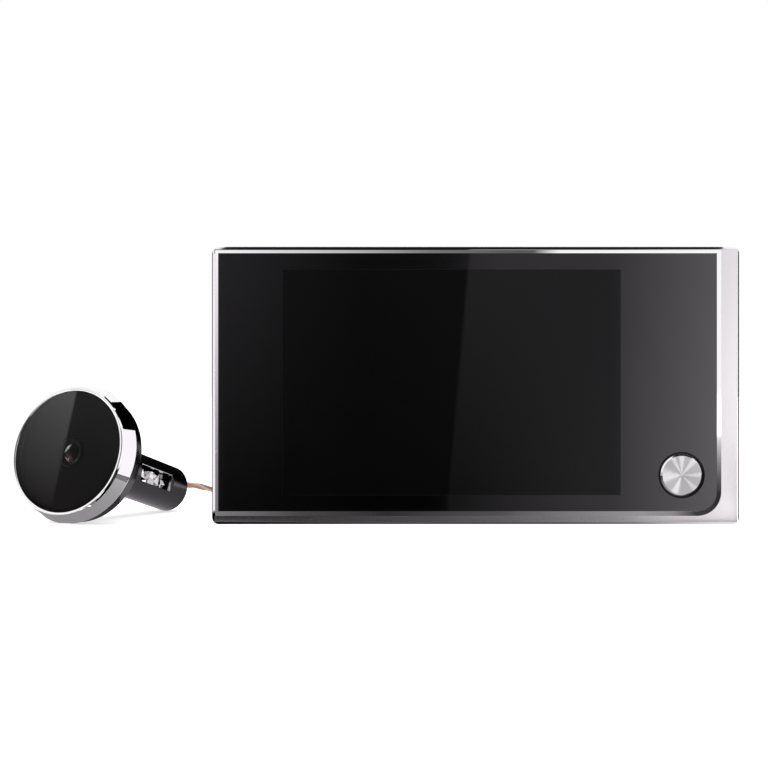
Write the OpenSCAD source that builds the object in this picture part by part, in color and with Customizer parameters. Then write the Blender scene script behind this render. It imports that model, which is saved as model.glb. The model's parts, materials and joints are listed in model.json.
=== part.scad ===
// Peephole door camera: an indoor monitor and the camera that goes through the door.
// A short lead joins the two.
// X points right as seen from the front, Y points away from the viewer and Z points up.
// Both units rest on Z = 0.
// Depths in the monitor are counted back from its glass, and in the camera back from its front ring.

/* [Monitor outline] */
// Width of the monitor
unit_w = 133; // [131:1:160]
// Height of the monitor
unit_h = 70; // [68:1:90]
// Radius of the monitor's outer corners
corner_r = 2; // [0.8:0.1:2.4]
// Bevel along the monitor's outer edges
edge_bevel = 0.7; // [0.3:0.1:0.8]
// Wall of the front frame
frame_wall = 1.6; // [1.2:0.1:2]
// Height of the rear cover's side, from the seam to the back
cover_side = 4; // [3.2:0.1:5]
// Step from the frame's side in to the cover's side
cover_inset = 0.6; // [0.2:0.1:0.8]

/* [Glass and trim] */
// Depth of the silver band behind the glass
band_d = 0.6; // [0.5:0.1:1.1]
// Depth of the trim's inner edge behind the glass
trim_d = 0.1; // [0:0.05:0.3]
// Frame to the left of the trim
trim_left = 0.9; // [0.8:0.05:2]
// Frame above the trim
trim_top = 0.9; // [0.8:0.05:2]
// Silver band to the right of the trim, with its bevel
trim_right = 4.7; // [2:0.1:6]
// Silver band under the trim, with its bevel
trim_bottom = 2.2; // [1:0.1:3]
// Width of the trim on the left and the top
trim_slim = 0.8; // [0.5:0.05:1.2]
// Width of the trim on the right and the bottom
trim_wide = 1.2; // [0.8:0.05:1.6]
// Outer radius of the trim's one round corner
trim_corner_r = 6; // [3:0.1:9]

/* [Depth layers] */
// Cover glass
glass_t = 1.1; // [0.7:0.1:2]
// Tape that holds the glass
tape_t = 0.2; // [0.1:0.05:0.4]
// Plate of the front frame behind the glass
plate_t = 1.2; // [1:0.1:2]
// Liquid crystal panel
panel_t = 1; // [0.8:0.1:1.4]
// Backlight
backlight_t = 1.4; // [1.2:0.1:2.4]
// Sheet of the display's steel shield
shield_t = 0.25; // [0.2:0.05:0.4]
// Floor of the battery bay
floor_t = 0.7; // [0.5:0.1:1.2]
// Battery door
door_t = 1; // [0.8:0.1:1.4]
// Back wall of the rear cover
cover_t = 2; // [1.8:0.1:2.6]

/* [Display] */
// Left edge of the monitor to the picture
lcd_left = 17.75; // [14:0.25:18]
// Right edge of the monitor to the picture
lcd_right = 29.95; // [29:0.05:40]
// Edge of the glass to the picture, above and below
lcd_margin = 3.95; // [3.8:0.05:10]
// Border of the panel round the picture
lcd_border = 3; // [2:0.1:3.2]
// Width of the display's flat lead
lcd_flex_w = 16; // [10:1:24]

/* [Button] */
// Diameter of the button's cap
button_d = 10.7; // [8:0.1:12]
// Gap between the cap and the glass
button_gap = 0.5; // [0.3:0.05:0.8]
// Right edge of the monitor to the button
button_right = 14.8; // [13.5:0.1:15]
// Foot of the monitor to the button
button_up = 12.5; // [11.5:0.1:12.5]
// Height of the cap in front of the glass
button_proud = 0.3; // [0.1:0.05:0.6]
// Travel of the button
button_travel = 0.5; // [0.2:0.05:0.5]
// Side of the switch body under the button
tact_w = 6; // [4.5:0.1:7]
// Height of the switch body under the button
tact_h = 3.4; // [2.5:0.1:3.6]

/* [Batteries] */
// Diameter of a cell
cell_d = 10.5; // [9.8:0.1:10.6]
// Length of a cell with its nub
cell_l = 44.5; // [40:0.1:45]
// Height of the nub
nub_h = 1; // [0.8:0.1:1.4]
// Diameter of the nub
nub_d = 3.8; // [3:0.1:4.4]
// Right edge of the monitor to the bay
bay_right = 7; // [6.5:0.1:9]
// Foot of the monitor to the bay
bay_bottom = 22; // [21.5:0.1:23]
// Wall of the bay
bay_wall = 1; // [0.8:0.1:1.2]
// Length of a battery spring as fitted
spring_l = 4.5; // [4.2:0.1:6]
// Wire of a battery spring
spring_wire = 0.6; // [0.4:0.05:0.6]
// Turns of a battery spring
spring_turns = 3.5; // [2:0.5:3.5]
// Sheet of the battery contacts
contact_t = 0.4; // [0.3:0.05:0.6]
// Lap of the battery door over the bay's edge
door_lap = 1.5; // [1.2:0.1:2]

/* [Boards] */
// Depth of the circuit boards' front face
board_d = 8; // [7.6:0.1:8.6]
// Thickness of the circuit boards
board_t = 1.2; // [0.8:0.1:1.6]
// Left edge of the monitor to the main board
board_left = 9.5; // [9:0.1:12]
// Main board to the foot and to the top of the monitor
board_margin = 8; // [6:0.5:10]
// Width of the button board
button_board_w = 18; // [16:0.5:19]
// Height of the button board
button_board_h = 12; // [11:0.5:12.5]

/* [Back of the monitor] */
// Distance between the hook slots from side to side
hook_x = 90; // [70:1:94]
// Distance between the hook slots from top to bottom
hook_z = 51; // [50:0.5:53]
// Length of a hook slot
hook_l = 8; // [6:0.5:9]
// Width of a hook slot
hook_w = 3.2; // [2.4:0.1:3.6]
// Case screws to the sides of the monitor
screw_side = 5.5; // [5.4:0.1:5.9]
// Lower case screws to the foot of the monitor
screw_end = 6.5; // [5.6:0.1:7]
// Shank of the case screws
screw_d = 2; // [1.6:0.1:2.2]
// Travel of the power slider
slider_travel = 2; // [1:0.1:3]

/* [Camera] */
// Largest diameter of the camera's head
head_d = 35.8; // [32:0.1:40]
// Width of the chrome ring round the window
ring_w = 1.15; // [1.1:0.05:2]
// Length of the chrome band
band_l = 5; // [4.6:0.1:8]
// Widening of the band from front to back, on the radius
band_flare = 1; // [0:0.05:1.2]
// Step from the band in to the dark ring behind it, on the radius
step_in = 1.2; // [0.5:0.05:1.8]
// Length of the step behind the band
step_l = 4.3; // [4:0.1:5]
// Diameter of the barrel
barrel_d = 12.6; // [11.4:0.1:14]
// Bore of the barrel
barrel_bore = 10; // [9.4:0.1:10.4]
// Length of the whole camera
camera_l = 49.5; // [47:0.5:70]
// Front of the camera to the slot in the barrel
slot_at = 26; // [20:0.5:28]
// Length of the slot in the barrel
slot_l = 15; // [8:0.5:16]
// Width of the slot in the barrel
slot_w = 4.4; // [3:0.1:5]
// Depth of the bevel round the slot
slot_rim = 0.6; // [0.2:0.05:0.8]
// Turn of the slot round the barrel from the right
slot_turn = -1; // [-30:1:30]
// Diameter of the lens barrel
lens_d = 8; // [7:0.1:8.4]
// Diameter of the front lens
lens_glass_d = 5; // [4:0.1:5.4]

/* [Camera place] */
// Middle of the camera's front, from the middle of the monitor
camera_x = -103.5; // [-140:0.5:-95]
// Middle of the camera's front, from the middle of the monitor's depth
camera_y = -5.3; // [-20:0.1:0]
// Turn of the camera to the left
camera_yaw = 25; // [20:1:30]

/* [Lead] */
// Diameter of the lead
lead_d = 1.8; // [1.4:0.1:2]
// Height of the lead's way out above the barrel's axis
lead_up = 3; // [2:0.1:3.2]
// Middle of the monitor to the lead's socket, to the left
socket_left = 18; // [14:0.5:24]
// Foot of the monitor to the lead's socket
socket_up = 30; // [26:0.5:44]

/* [Clearances] */
// Between pieces that are laid or pressed together
fit = 0.05; // [0.02:0.01:0.08]
// Between a fixed piece and the recess that it drops into
seat = 0.15; // [0.1:0.05:0.3]
// Beside and under pieces that slide
slide_gap = 0.1; // [0.06:0.01:0.2]
// Between cells, and between loose layers
loose = 0.3; // [0.2:0.05:0.4]

/* [Hidden] */
$fn = 64;

// Overlap that joins a rib, boss or wall to the piece that it grows from
weld = 0.2;
// Reach of a cut past the face that it opens
past = 1;

// Depths of the monitor's layers, from the front of the glass
plate_front = glass_t + tape_t;
plate_back = plate_front + plate_t;
backlight_front = plate_front + panel_t;
shield_front = backlight_front + backlight_t;
shield_back = shield_front + shield_t;
floor_front = shield_back + fit;
floor_back = floor_front + floor_t;
cell_front = floor_back + slide_gap;
door_front = cell_front + cell_d + 2 * slide_gap;
unit_t = door_front + door_t;
seam_d = unit_t - cover_side;
cover_in = unit_t - cover_t;
board_back = board_d + board_t;

// Edges of the monitor, its trim and its glass
left_x = -unit_w / 2;
right_x = unit_w / 2;
edge_share = 0.64;
edge_steep = 2.2;
trim_x0 = left_x + trim_left;
trim_x1 = right_x - trim_right;
trim_z0 = trim_bottom;
trim_z1 = unit_h - trim_top;
glass_x0 = trim_x0 + trim_slim;
glass_x1 = trim_x1 - trim_wide;
glass_z0 = trim_z0 + trim_wide;
glass_z1 = trim_z1 - trim_slim;
glass_corner_r = trim_corner_r - trim_wide;

// Outline of the display panel
panel_x0 = left_x + lcd_left - lcd_border;
panel_x1 = right_x - lcd_right + lcd_border;
panel_z0 = glass_z0 + lcd_margin - lcd_border;
panel_z1 = glass_z1 - lcd_margin + lcd_border;
panel_mid_z = (panel_z0 + panel_z1) / 2;
shield_out = loose + shield_t;
ear_l = 3;
ear_w = 8;
ear_inset = 16;
tape_edge = 0.2;

// Flat lead of the display, which turns back behind the plate
flex_t = 0.2;
flex_run = 4;
flex_front = backlight_front + backlight_t / 2;
flex_lift = 0.5;
flex_back = board_d - flex_lift;
flex_turn_r = (flex_back - flex_front) / 2;
flex_turn_x = panel_x0 - flex_run;
connector_lap = 2;
connector_x0 = panel_x0 + connector_lap;
connector_rim = 1;
connector_l = 4;
connector_h = 1.6;

// Button
button_at = [right_x - button_right, button_up];
button_hole_r = button_d / 2 + button_gap;
button_flange_lap = 0.6;
button_flange_r = button_hole_r + button_flange_lap;
button_flange_t = 0.7;
button_bevel = 0.5;
button_dish = 0.1;
button_stem_r = 2.2;
cap_back = glass_t + slide_gap;
plunger_r = 1.75;
plunger_sink = 0.9;
tact_front = board_d - tact_h;
plunger_up = 0.4;
plunger_tip = tact_front - button_travel - plunger_up;

// Screws
screw_r = screw_d / 2;
head_r = 1.9;
head_h = 1.1;
boss_r = 2.3;
boss_short = 0.5;
boss_back = seam_d - boss_short;
pillar_r = 1.9;
small_screw_r = 0.8;
small_head_r = 1.5;
small_head_h = 0.8;
small_screw_l = 4;
cross_w = 0.5;
screw_tip_gap = 1;

// Battery bay, for one cell a battery node
cells = 3;
dimple_h = 0.8;
bay_l = 2 * contact_t + spring_l + cell_l + dimple_h;
bay_x1 = right_x - bay_right;
bay_x0 = bay_x1 - bay_l;
bay_z0 = bay_bottom;
cell_pitch = cell_d + loose;
bay_z1 = bay_z0 + cells * cell_pitch + loose;
cell_y = cell_front + cell_d / 2 - unit_t / 2;
contact_w = 8;
spring_base_r = 3.4;
spring_tip_r = 2.2;
ridge_w = 2;
ridge_h = 1.5;

// Battery door and its rails
door_x0 = bay_x0 - door_lap;
door_z0 = bay_z0 - door_lap;
door_z1 = bay_z1 + door_lap;
tongue_t = door_t / 2;
tongue_w = 0.8;
grip_ribs = 6;
grip_pitch = 1.6;
grip_l = 14;
grip_depth = 0.3;

// The upper case screws and hook slots lie midway between the battery door and the top wall
upper_z = (door_z1 + tongue_w + unit_h - frame_wall) / 2;
case_points = [for (x = [left_x + screw_side, right_x - screw_side], z = [screw_end, upper_z]) [x, z]];
hook_points = [for (x = [-hook_x / 2, hook_x / 2], z = [upper_z - hook_z, upper_z]) [x, z]];

// Rear cover
cover_x0 = left_x + cover_inset;
cover_x1 = right_x - cover_inset;
cover_z0 = cover_inset;
cover_z1 = unit_h - cover_inset;
lip_h = 1.5;
lip_t = 1;

// Main board and what it carries
board_x0 = left_x + board_left;
board_gap = 0.8;
board_x1 = bay_x0 - bay_wall - board_gap;
board_z0 = board_margin;
board_z1 = unit_h - board_margin;
post_inset = 3.5;
post_points = [for (x = [board_x0 + post_inset, board_x1 - post_inset],
  z = [board_z0 + post_inset, board_z1 - post_inset]) [x, z]];
socket_at = [-socket_left, socket_up];
socket_w = 10;
socket_h = 5.6;
socket_deep = 4.6;
socket_wall = 0.7;
plug_hood_w = 8.4;
plug_hood_up = 2.4;
plug_hood_down = 6;
plug_hood_front = board_back + socket_deep + fit;
plug_proud = 2.5;
plug_cover = 0.3;
plug_r = 1;
plug_rib_pitch = 1.2;
plug_back = unit_t + plug_proud;
well_gap = 0.6;
switch_left = 36;
switch_up = 6;
switch_at = [-switch_left, board_z0 + switch_up];
switch_w = 8.6;
switch_h = 3.8;
switch_deep = 3.4;
slider_stem = 1.6;
slider_w = 4;
slider_h = 2.8;
slider_sink = 0.9;
slider_below = 0.4;
slider_groove = 0.4;
slider_back = unit_t - slider_below;
chip_left = 14;
chip_at = [-chip_left, panel_mid_z];
chip_w = 12;
chip_t = 1.4;
memory_left = 34;
memory_at = [-memory_left, panel_mid_z];
memory_w = 6;
memory_h = 8.4;
mark_r = 0.5;
mark_deep = 0.2;
parts_down = 10;
coil_left = 13;
coil_pitch = 8;
coil_points = [for (k = [0, 1]) [board_x0 + coil_left + k * coil_pitch, board_z1 - parts_down]];
coil_r = 3;
coil_bore_r = 0.8;
coil_h = 3;
capacitor_right = 11.1;
capacitor_pitch = 6;
capacitor_points = [for (k = [0 : 2])
  [board_x1 - capacitor_right - k * capacitor_pitch, board_z1 - parts_down]];
capacitor_r = 2.2;
capacitor_h = 4.4;

// Button board
button_post_inset = 2;
button_board_points = [for (s = [-1, 1])
  button_at + s * [button_board_w / 2 - button_post_inset, button_board_h / 2 - button_post_inset]];
button_flex_w = 4;
button_flex_up = 3;
button_flex_z = button_up + button_flex_up;
flex_lap = 5;

// Camera, from its front
head_max_r = head_d / 2;
head_front_r = head_max_r - band_flare;
window_r = head_front_r - ring_w;
window_front = 0.2;
window_t = 1.2;
seal_t = 0.2;
ring_edge = 0.35;
ring_land = 0.6;
ring_slope = 0.1;
rear_edge = 0.4;
ledge_front = window_front + window_t + seal_t;
ledge_t = 0.6;
ledge_w = 0.9;
shroud_front = ledge_front + ledge_t + fit;
shroud_t = 0.8;
cup_front = shroud_front + shroud_t + fit;
cup_wall = 1.2;
cup_r = window_r;
cup_in_r = cup_r - cup_wall;
step_r = head_max_r - step_in;
step_back = band_l + step_l;
rear_wall = 1;
barrel_r = barrel_d / 2;
bore_r = barrel_bore / 2;
end_edge = 0.8;
sensor_board_t = 0.8;
sensor_board_r = cup_in_r - loose;
sensor_post_h = 0.6;
sensor_board_back = step_back - rear_wall - sensor_post_h;
sensor_board_front = sensor_board_back - sensor_board_t;
sensor_screws = 3;
screw_stop = 0.4;
sensor_screw_inset = 2;
sensor_screw_ring = sensor_board_r - sensor_screw_inset;
sensor_w = 6.4;
sensor_h = 5.2;
sensor_t = 0.7;
link_w = 6;
link_h = 3;
link_t = 2;
sensor_room = 0.4;
lens_front_d = ledge_front + loose;
lens_back_d = sensor_board_front - sensor_t - sensor_room - slide_gap;
lens_front_t = 1.8;
lens_rear_t = 0.6;
lens_rear_up = 0.2;
lens_face = 0.6;
lens_chamfer = 0.5;
lens_countersink = 0.4;
holder_w = 11;
holder_gap = 0.7;
holder_front = shroud_front + shroud_t + holder_gap;
grommet_l = 3.5;
grommet_sink = 0.5;
nozzle_lip = 0.3;
nozzle_l = 2.5;
nozzle_r = 1.7;
foil_gap = 4;
foil_front = step_back + foil_gap;
foil_back = camera_l - grommet_l;
foil_room = 0.7;
foil_r = bore_r - foil_room;
foil_crumple = 0.9;

// The camera lies on the end of its barrel and on the back edge of its band, or of its step if that is lower
rest_end_s = camera_l - end_edge;
band_tilt = atan((head_max_r - barrel_r) / (rest_end_s - band_l + rear_edge));
step_tilt = atan((step_r - barrel_r) / (rest_end_s - step_back + rear_edge));
camera_tilt = max(band_tilt, step_tilt);
camera_z = rest_end_s * sin(camera_tilt) + barrel_r * cos(camera_tilt);

// Route of the lead from the camera's grommet round to the plug behind the monitor
lead_r = lead_d / 2;
lead_sides = 8;
lead_steps = 2;
lead_start = camera_point([0, -lead_up, camera_l + nozzle_l]);
lead_axis = camera_point([0, 0, 1]) - camera_point([0, 0, 0]);
lead_end = [socket_at[0], depth_y(plug_back) - lead_r - plug_cover, socket_at[1] - plug_hood_down - fit];
lead_straight = [3, 6];
lead_rise = 4;
lead_lay = [[-77.1, 51, 6], [-74.4, 55.3, 5], [-70, 59.3, 3.5], [-64.5, 61.9, 2.1], [-58.5, 62.8, 1.3],
  [-53, 61.8, 1], [-48, 59, 1], [-43, 54.6, 1], [-38, 50, 1], [-32, 46.5, 1], [-25, 46, 1], [-18, 48, 1],
  [-11, 48.5, 1], [-5, 45.5, 1], [-2, 40, 1], [-3, 34, 1], [-7, 29, 1], [-12, 25.5, 1], [-16, 21.5, 1.6],
  [-18, 17, 3.4], [-18.4, 13, 7.4], [-18.2, 10.6, 13]];
lead_route = concat([lead_start], [for (s = lead_straight) lead_start + s * lead_axis], lead_lay,
  [lead_end - [0, 0, lead_rise], lead_end]);

function depth_y(d) = d - unit_t / 2;

// Place of a point given in the camera's own frame, where Z runs back along the barrel
function camera_point(p) =
  let (a = -90 - camera_tilt, y = p[1] * cos(a) - p[2] * sin(a), z = p[1] * sin(a) + p[2] * cos(a))
  [camera_x + p[0] * cos(camera_yaw) + y * sin(camera_yaw),
    camera_y - p[0] * sin(camera_yaw) + y * cos(camera_yaw), camera_z + z];

function unit(v) = v / norm(v);
function reversed(list) = [for (i = [len(list) - 1 : -1 : 0]) list[i]];
function sum(list, i = 0) = i < len(list) ? list[i] + sum(list, i + 1) : 0;
function tangent(path, i) = unit(path[min(i + 1, len(path) - 1)] - path[max(i - 1, 0)]);
function square_to(n, t) = unit(n - (n * t) * t);

// Directions square to a path that turn no more than the path does
function carried(path, start) =
  [for (i = 0, n = square_to(start, tangent(path, 0)); i < len(path);
    i = i + 1, n = i < len(path) ? square_to(n, tangent(path, i)) : n) n];

// Points of a smooth curve through a route
function smooth(route, steps) =
  let (last = len(route) - 1)
  concat([for (i = [0 : last - 1], k = [0 : steps - 1])
    let (a = route[max(i - 1, 0)], b = route[i], c = route[i + 1], d = route[min(i + 2, last)],
      t = k / steps)
    0.5 * (2 * b + (c - a) * t + (2 * a - 5 * b + 4 * c - d) * t * t
      + (3 * b - a - 3 * c + d) * t * t * t)],
    [route[last]]);
function path_length(path) = sum([for (i = [1 : len(path) - 1]) norm(path[i] - path[i - 1])]);

// Helix of a battery spring, which narrows from its base to its tip
spring_rings = 8 * spring_turns;
spring_path = [for (k = [0 : spring_rings])
  let (t = k / spring_rings, r = spring_base_r + (spring_tip_r - spring_base_r) * t,
    a = 360 * spring_turns * t)
  [spring_wire / 2 + fit + (spring_l - spring_wire - 2 * fit) * t, r * cos(a), r * sin(a)]];
spring_gap = min([for (i = [0 : spring_rings - 7], k = [i + 7 : spring_rings])
  norm(spring_path[i] - spring_path[k])]) - spring_wire;
echo(battery_spring_least_gap = spring_gap);
echo(lead_length = path_length(smooth(lead_route, lead_steps)), lead_end = lead_end);
echo(unit_t = unit_t, camera_tilt = camera_tilt, camera_z = camera_z, lead_start = lead_start);

// Tube of flat sides along a path
module tube(path, r, sides, start) {
  normals = carried(path, start);
  rings = len(path);
  points = [for (i = [0 : rings - 1], k = [0 : sides - 1])
    let (t = tangent(path, i), a = 360 * k / sides)
    path[i] + r * (cos(a) * normals[i] + sin(a) * cross(t, normals[i]))];
  walls = [for (i = [0 : rings - 2], k = [0 : sides - 1])
    let (a = i * sides + k, b = i * sides + (k + 1) % sides)
    each [[a, a + sides, b], [b, a + sides, b + sides]]];
  last = (rings - 1) * sides;
  caps = [for (k = [1 : sides - 2]) each [[0, k, k + 1], [last, last + k + 1, last + k]]];
  polyhedron(points, concat(walls, caps));
}

// Solid between two depths of the monitor, from an outline in X and Z
module slab(d0, d1)
  translate([0, depth_y(d1), 0])
    rotate([90, 0, 0])
      linear_extrude(d1 - d0)
        children();

module rect(x0, x1, z0, z1)
  translate([x0, z0])
    square([x1 - x0, z1 - z0]);

module round_rect(x0, x1, z0, z1, r) {
  rect(x0 + r, x1 - r, z0, z1);
  rect(x0, x1, z0 + r, z1 - r);
  for (x = [x0 + r, x1 - r], z = [z0 + r, z1 - r])
    translate([x, z])
      circle(r);
}

// Rectangle with only its lower right corner rounded
module one_round_rect(x0, x1, z0, z1, r) {
  rect(x0, x1 - r, z0, z1);
  rect(x0, x1, z0 + r, z1);
  translate([x1 - r, z0 + r])
    circle(r);
}

// Hole or rod along the depth at a point in X and Z
module rod(p, r, d0, d1)
  slab(d0, d1)
    translate(p)
      circle(r);

// Solid of revolution about the depth axis at a point in X and Z, from points of radius and depth
module turned(p, outline)
  translate([p[0], 0, p[1]])
    rotate([-90, 0, 0])
      rotate_extrude()
        polygon([for (q = outline) [q[0], depth_y(q[1])]]);

// Points of a softened edge, as depth and inset: a bevel at 45 degrees, then a steeper one towards the side
function edge_points(bevel) =
  let (flat = edge_share * bevel)
  bevel > 0 ? [[0, bevel], [flat, bevel - flat], [flat + edge_steep * (bevel - flat), 0]] : [[0, 0]];

// Section of a block, depth first, with softened edges at its front and its back
module bevel_section(d0, d1, a0, a1, front, back) {
  front_edge = edge_points(front);
  back_edge = edge_points(back);
  polygon(concat(
    [for (q = front_edge) [depth_y(d0 + q[0]), a0 + q[1]]],
    [for (q = reversed(back_edge)) [depth_y(d1 - q[0]), a0 + q[1]]],
    [for (q = back_edge) [depth_y(d1 - q[0]), a1 - q[1]]],
    [for (q = reversed(front_edge)) [depth_y(d0 + q[0]), a1 - q[1]]]));
}

// Block with rounded corners and bevelled front or back edges
module bevelled_block(x0, x1, z0, z1, d0, d1, front, back)
  intersection() {
    slab(d0, d1)
      round_rect(x0, x1, z0, z1, corner_r);
    translate([x0, 0, 0])
      rotate([90, 0, 90])
        linear_extrude(x1 - x0)
          bevel_section(d0, d1, z0, z1, front, back);
    translate([0, 0, z0])
      mirror([1, -1, 0])
        linear_extrude(z1 - z0)
          bevel_section(d0, d1, x0, x1, front, back);
  }

module cover_block()
  bevelled_block(cover_x0, cover_x1, cover_z0, cover_z1, seam_d, unit_t, 0, edge_bevel);

// Screw along the depth with its head at the back and a cross in the head
module screw(p, shank_r, top_r, top_h, head_d, tip_d)
  difference() {
    turned(p, [[0, head_d], [top_r - 0.3, head_d], [top_r, head_d - 0.4], [top_r, head_d - top_h],
      [shank_r, head_d - top_h], [shank_r, tip_d + shank_r], [0.2, tip_d], [0, tip_d]]);
    slab(head_d - top_h / 2, head_d + past)
      translate(p)
        for (a = [0, 90])
          rotate(a)
            square([top_r * 1.4, cross_w], center = true);
  }

module camera_pose()
  translate([camera_x, camera_y, camera_z])
    rotate([0, 0, -camera_yaw])
      rotate([-90 - camera_tilt, 0, 0])
        children();

// Solid of revolution about the camera's axis, from points of radius and depth
module camera_turned(outline)
  camera_pose()
    rotate_extrude()
      polygon(outline);

module disc(r, s0, s1)
  translate([0, 0, s0])
    cylinder(r = r, h = s1 - s0);

module block(w, h, s0, s1)
  translate([-w / 2, -h / 2, s0])
    cube([w, h, s1 - s0]);

module glass_outline(inset)
  one_round_rect(glass_x0 + inset, glass_x1 - inset, glass_z0 + inset, glass_z1 - inset,
    glass_corner_r - inset);

module trim_outline()
  one_round_rect(trim_x0, trim_x1, trim_z0, trim_z1, trim_corner_r);

module panel_outline(grow)
  rect(panel_x0 - grow, panel_x1 + grow, panel_z0 - grow, panel_z1 + grow);

module frame_inside(inset)
  round_rect(left_x + frame_wall + inset, right_x - frame_wall - inset,
    frame_wall + inset, unit_h - frame_wall - inset, corner_r / 2);

module bay_outline(grow)
  rect(bay_x0 - grow, bay_x1 + grow, bay_z0 - grow, bay_z1 + grow);

module front_frame()
  color("silver")
    difference() {
      union() {
        difference() {
          bevelled_block(left_x, right_x, 0, unit_h, band_d, seam_d, edge_bevel, 0);
          slab(plate_back, seam_d + past)
            frame_inside(0);
        }
        for (p = case_points)
          rod(p, boss_r, plate_back - weld, boss_back);
        for (p = button_board_points)
          rod(p, pillar_r, plate_back - weld, board_d);
      }
      slab(band_d - past, plate_front)
        trim_outline();
      slab(plate_front - past, plate_back + past)
        panel_outline(loose);
      rod(button_at, button_flange_r + loose, plate_front - past, plate_back + past);
      for (p = case_points)
        rod(p, screw_r + fit, plate_back + past, boss_back + past);
      for (p = button_board_points)
        rod(p, small_screw_r + fit, plate_back + past, board_d + past);
    }

// Section of the trim across its width, from the outer edge to the inner edge
function trim_section(outer, inner) =
  [[outer, depth_y(band_d)], [inner, depth_y(trim_d)],
    [inner, depth_y(plate_front)], [outer, depth_y(plate_front)]];

// Straight bar of the trim along Z, or along X
module trim_upright(outer, inner)
  linear_extrude(unit_h)
    polygon(trim_section(outer, inner));

module trim_level(outer, inner)
  translate([left_x, 0, 0])
    rotate([90, 0, 90])
      linear_extrude(unit_w)
        polygon([for (q = trim_section(outer, inner)) [q[1], q[0]]]);

module trim_mitre(outline)
  intersection() {
    slab(0, plate_front + past)
      polygon(outline);
    children();
  }

module bezel_trim()
  color("gainsboro") {
    corner_x = trim_x1 - trim_corner_r;
    corner_z = trim_z0 + trim_corner_r;
    trim_mitre([[trim_x0, trim_z0], [glass_x0, glass_z0], [glass_x0, glass_z1], [trim_x0, trim_z1]])
      trim_upright(trim_x0, glass_x0);
    trim_mitre([[trim_x0, trim_z1], [glass_x0, glass_z1], [glass_x1, glass_z1], [trim_x1, trim_z1]])
      trim_level(trim_z1, glass_z1);
    trim_mitre([[trim_x1, trim_z1], [glass_x1, glass_z1], [glass_x1, corner_z], [trim_x1, corner_z]])
      trim_upright(trim_x1, glass_x1);
    trim_mitre([[trim_x0, trim_z0], [glass_x0, glass_z0], [corner_x, glass_z0], [corner_x, trim_z0]])
      trim_level(trim_z0, glass_z0);
    translate([corner_x, 0, corner_z])
      rotate([90, 0, 0])
        rotate(-90)
          rotate_extrude(angle = 90)
            polygon([for (q = trim_section(trim_corner_r, glass_corner_r)) [q[0], -q[1]]]);
  }

module front_glass()
  color("black")
    slab(0, glass_t)
      difference() {
        glass_outline(fit);
        translate(button_at)
          circle(button_hole_r);
      }

module glass_tape()
  color("dimgray")
    slab(glass_t, plate_front)
      difference() {
        glass_outline(tape_edge);
        panel_outline(loose);
        translate(button_at)
          circle(button_flange_r + tape_edge);
      }

module lcd_panel()
  color("midnightblue")
    slab(plate_front, backlight_front)
      panel_outline(0);

module lcd_backlight()
  color("white")
    slab(backlight_front, shield_front)
      panel_outline(0);

module lcd_shield()
  color("lightgray")
    difference() {
      union() {
        slab(plate_back, shield_back)
          panel_outline(shield_out);
        slab(plate_back, plate_back + shield_t)
          for (z = [panel_z0 + ear_inset, panel_z1 - ear_inset])
            rect(panel_x0 - shield_out - ear_l, panel_x1 + shield_out + ear_l,
              z - ear_w / 2, z + ear_w / 2);
      }
      slab(plate_back - past, shield_front)
        panel_outline(loose);
      slab(plate_back - past, shield_front)
        rect(panel_x0 - shield_out - past, panel_x0, panel_mid_z - lcd_flex_w / 2 - loose,
          panel_mid_z + lcd_flex_w / 2 + loose);
    }

module lcd_flex()
  color("orange")
    translate([0, 0, panel_mid_z - lcd_flex_w / 2])
      linear_extrude(lcd_flex_w) {
        rect(flex_turn_x, panel_x0, depth_y(flex_front), depth_y(flex_front + flex_t));
        rect(flex_turn_x, connector_x0, depth_y(flex_back - flex_t), depth_y(flex_back));
        translate([flex_turn_x, depth_y(flex_front + flex_turn_r)])
          difference() {
            circle(flex_turn_r);
            circle(flex_turn_r - flex_t);
            rect(0, 2 * flex_turn_r, -2 * flex_turn_r, 2 * flex_turn_r);
          }
      }

module lcd_connector()
  color("ivory")
    slab(board_d - connector_h, board_d)
      rect(connector_x0, connector_x0 + connector_l, panel_mid_z - lcd_flex_w / 2 - connector_rim,
        panel_mid_z + lcd_flex_w / 2 + connector_rim);

module main_board()
  color("darkgreen")
    slab(board_d, board_back)
      difference() {
        rect(board_x0, board_x1, board_z0, board_z1);
        for (p = post_points)
          translate(p)
            circle(small_screw_r + seat);
      }

// Chip on the front of the main board, with a dimple at its first lead
module chip(p, w, h)
  color("#202022")
    difference() {
      slab(board_d - chip_t, board_d)
        translate(p)
          square([w, h], center = true);
      rod(p + [-w, h] / 3, mark_r, board_d - chip_t - past, board_d - chip_t + mark_deep);
    }

module video_chip()
  chip(chip_at, chip_w, chip_w);

module memory_chip()
  chip(memory_at, memory_w, memory_h);

module power_coils()
  color("#3a3a3a")
    for (p = coil_points)
      difference() {
        rod(p, coil_r, board_back, board_back + coil_h);
        rod(p, coil_bore_r, board_back + coil_h / 2, board_back + coil_h + past);
      }

module capacitors()
  color("#20304a")
    for (p = capacitor_points)
      rod(p, capacitor_r, board_back, board_back + capacitor_h);

module camera_socket()
  color("ivory")
    difference() {
      slab(board_back, board_back + socket_deep)
        translate(socket_at)
          square([socket_w, socket_h], center = true);
      slab(board_back + socket_wall, board_back + socket_deep + past)
        translate(socket_at)
          square([socket_w - 2 * socket_wall, socket_h - 2 * socket_wall], center = true);
    }

module power_switch()
  color("lightgray")
    difference() {
      slab(board_back, board_back + switch_deep)
        translate(switch_at)
          square([switch_w, switch_h], center = true);
      slab(board_back + switch_deep - slider_sink - slide_gap, board_back + switch_deep + past)
        translate(switch_at)
          square([slider_stem + slider_travel + 2 * slide_gap, slider_stem + 2 * slide_gap], center = true);
    }

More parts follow.
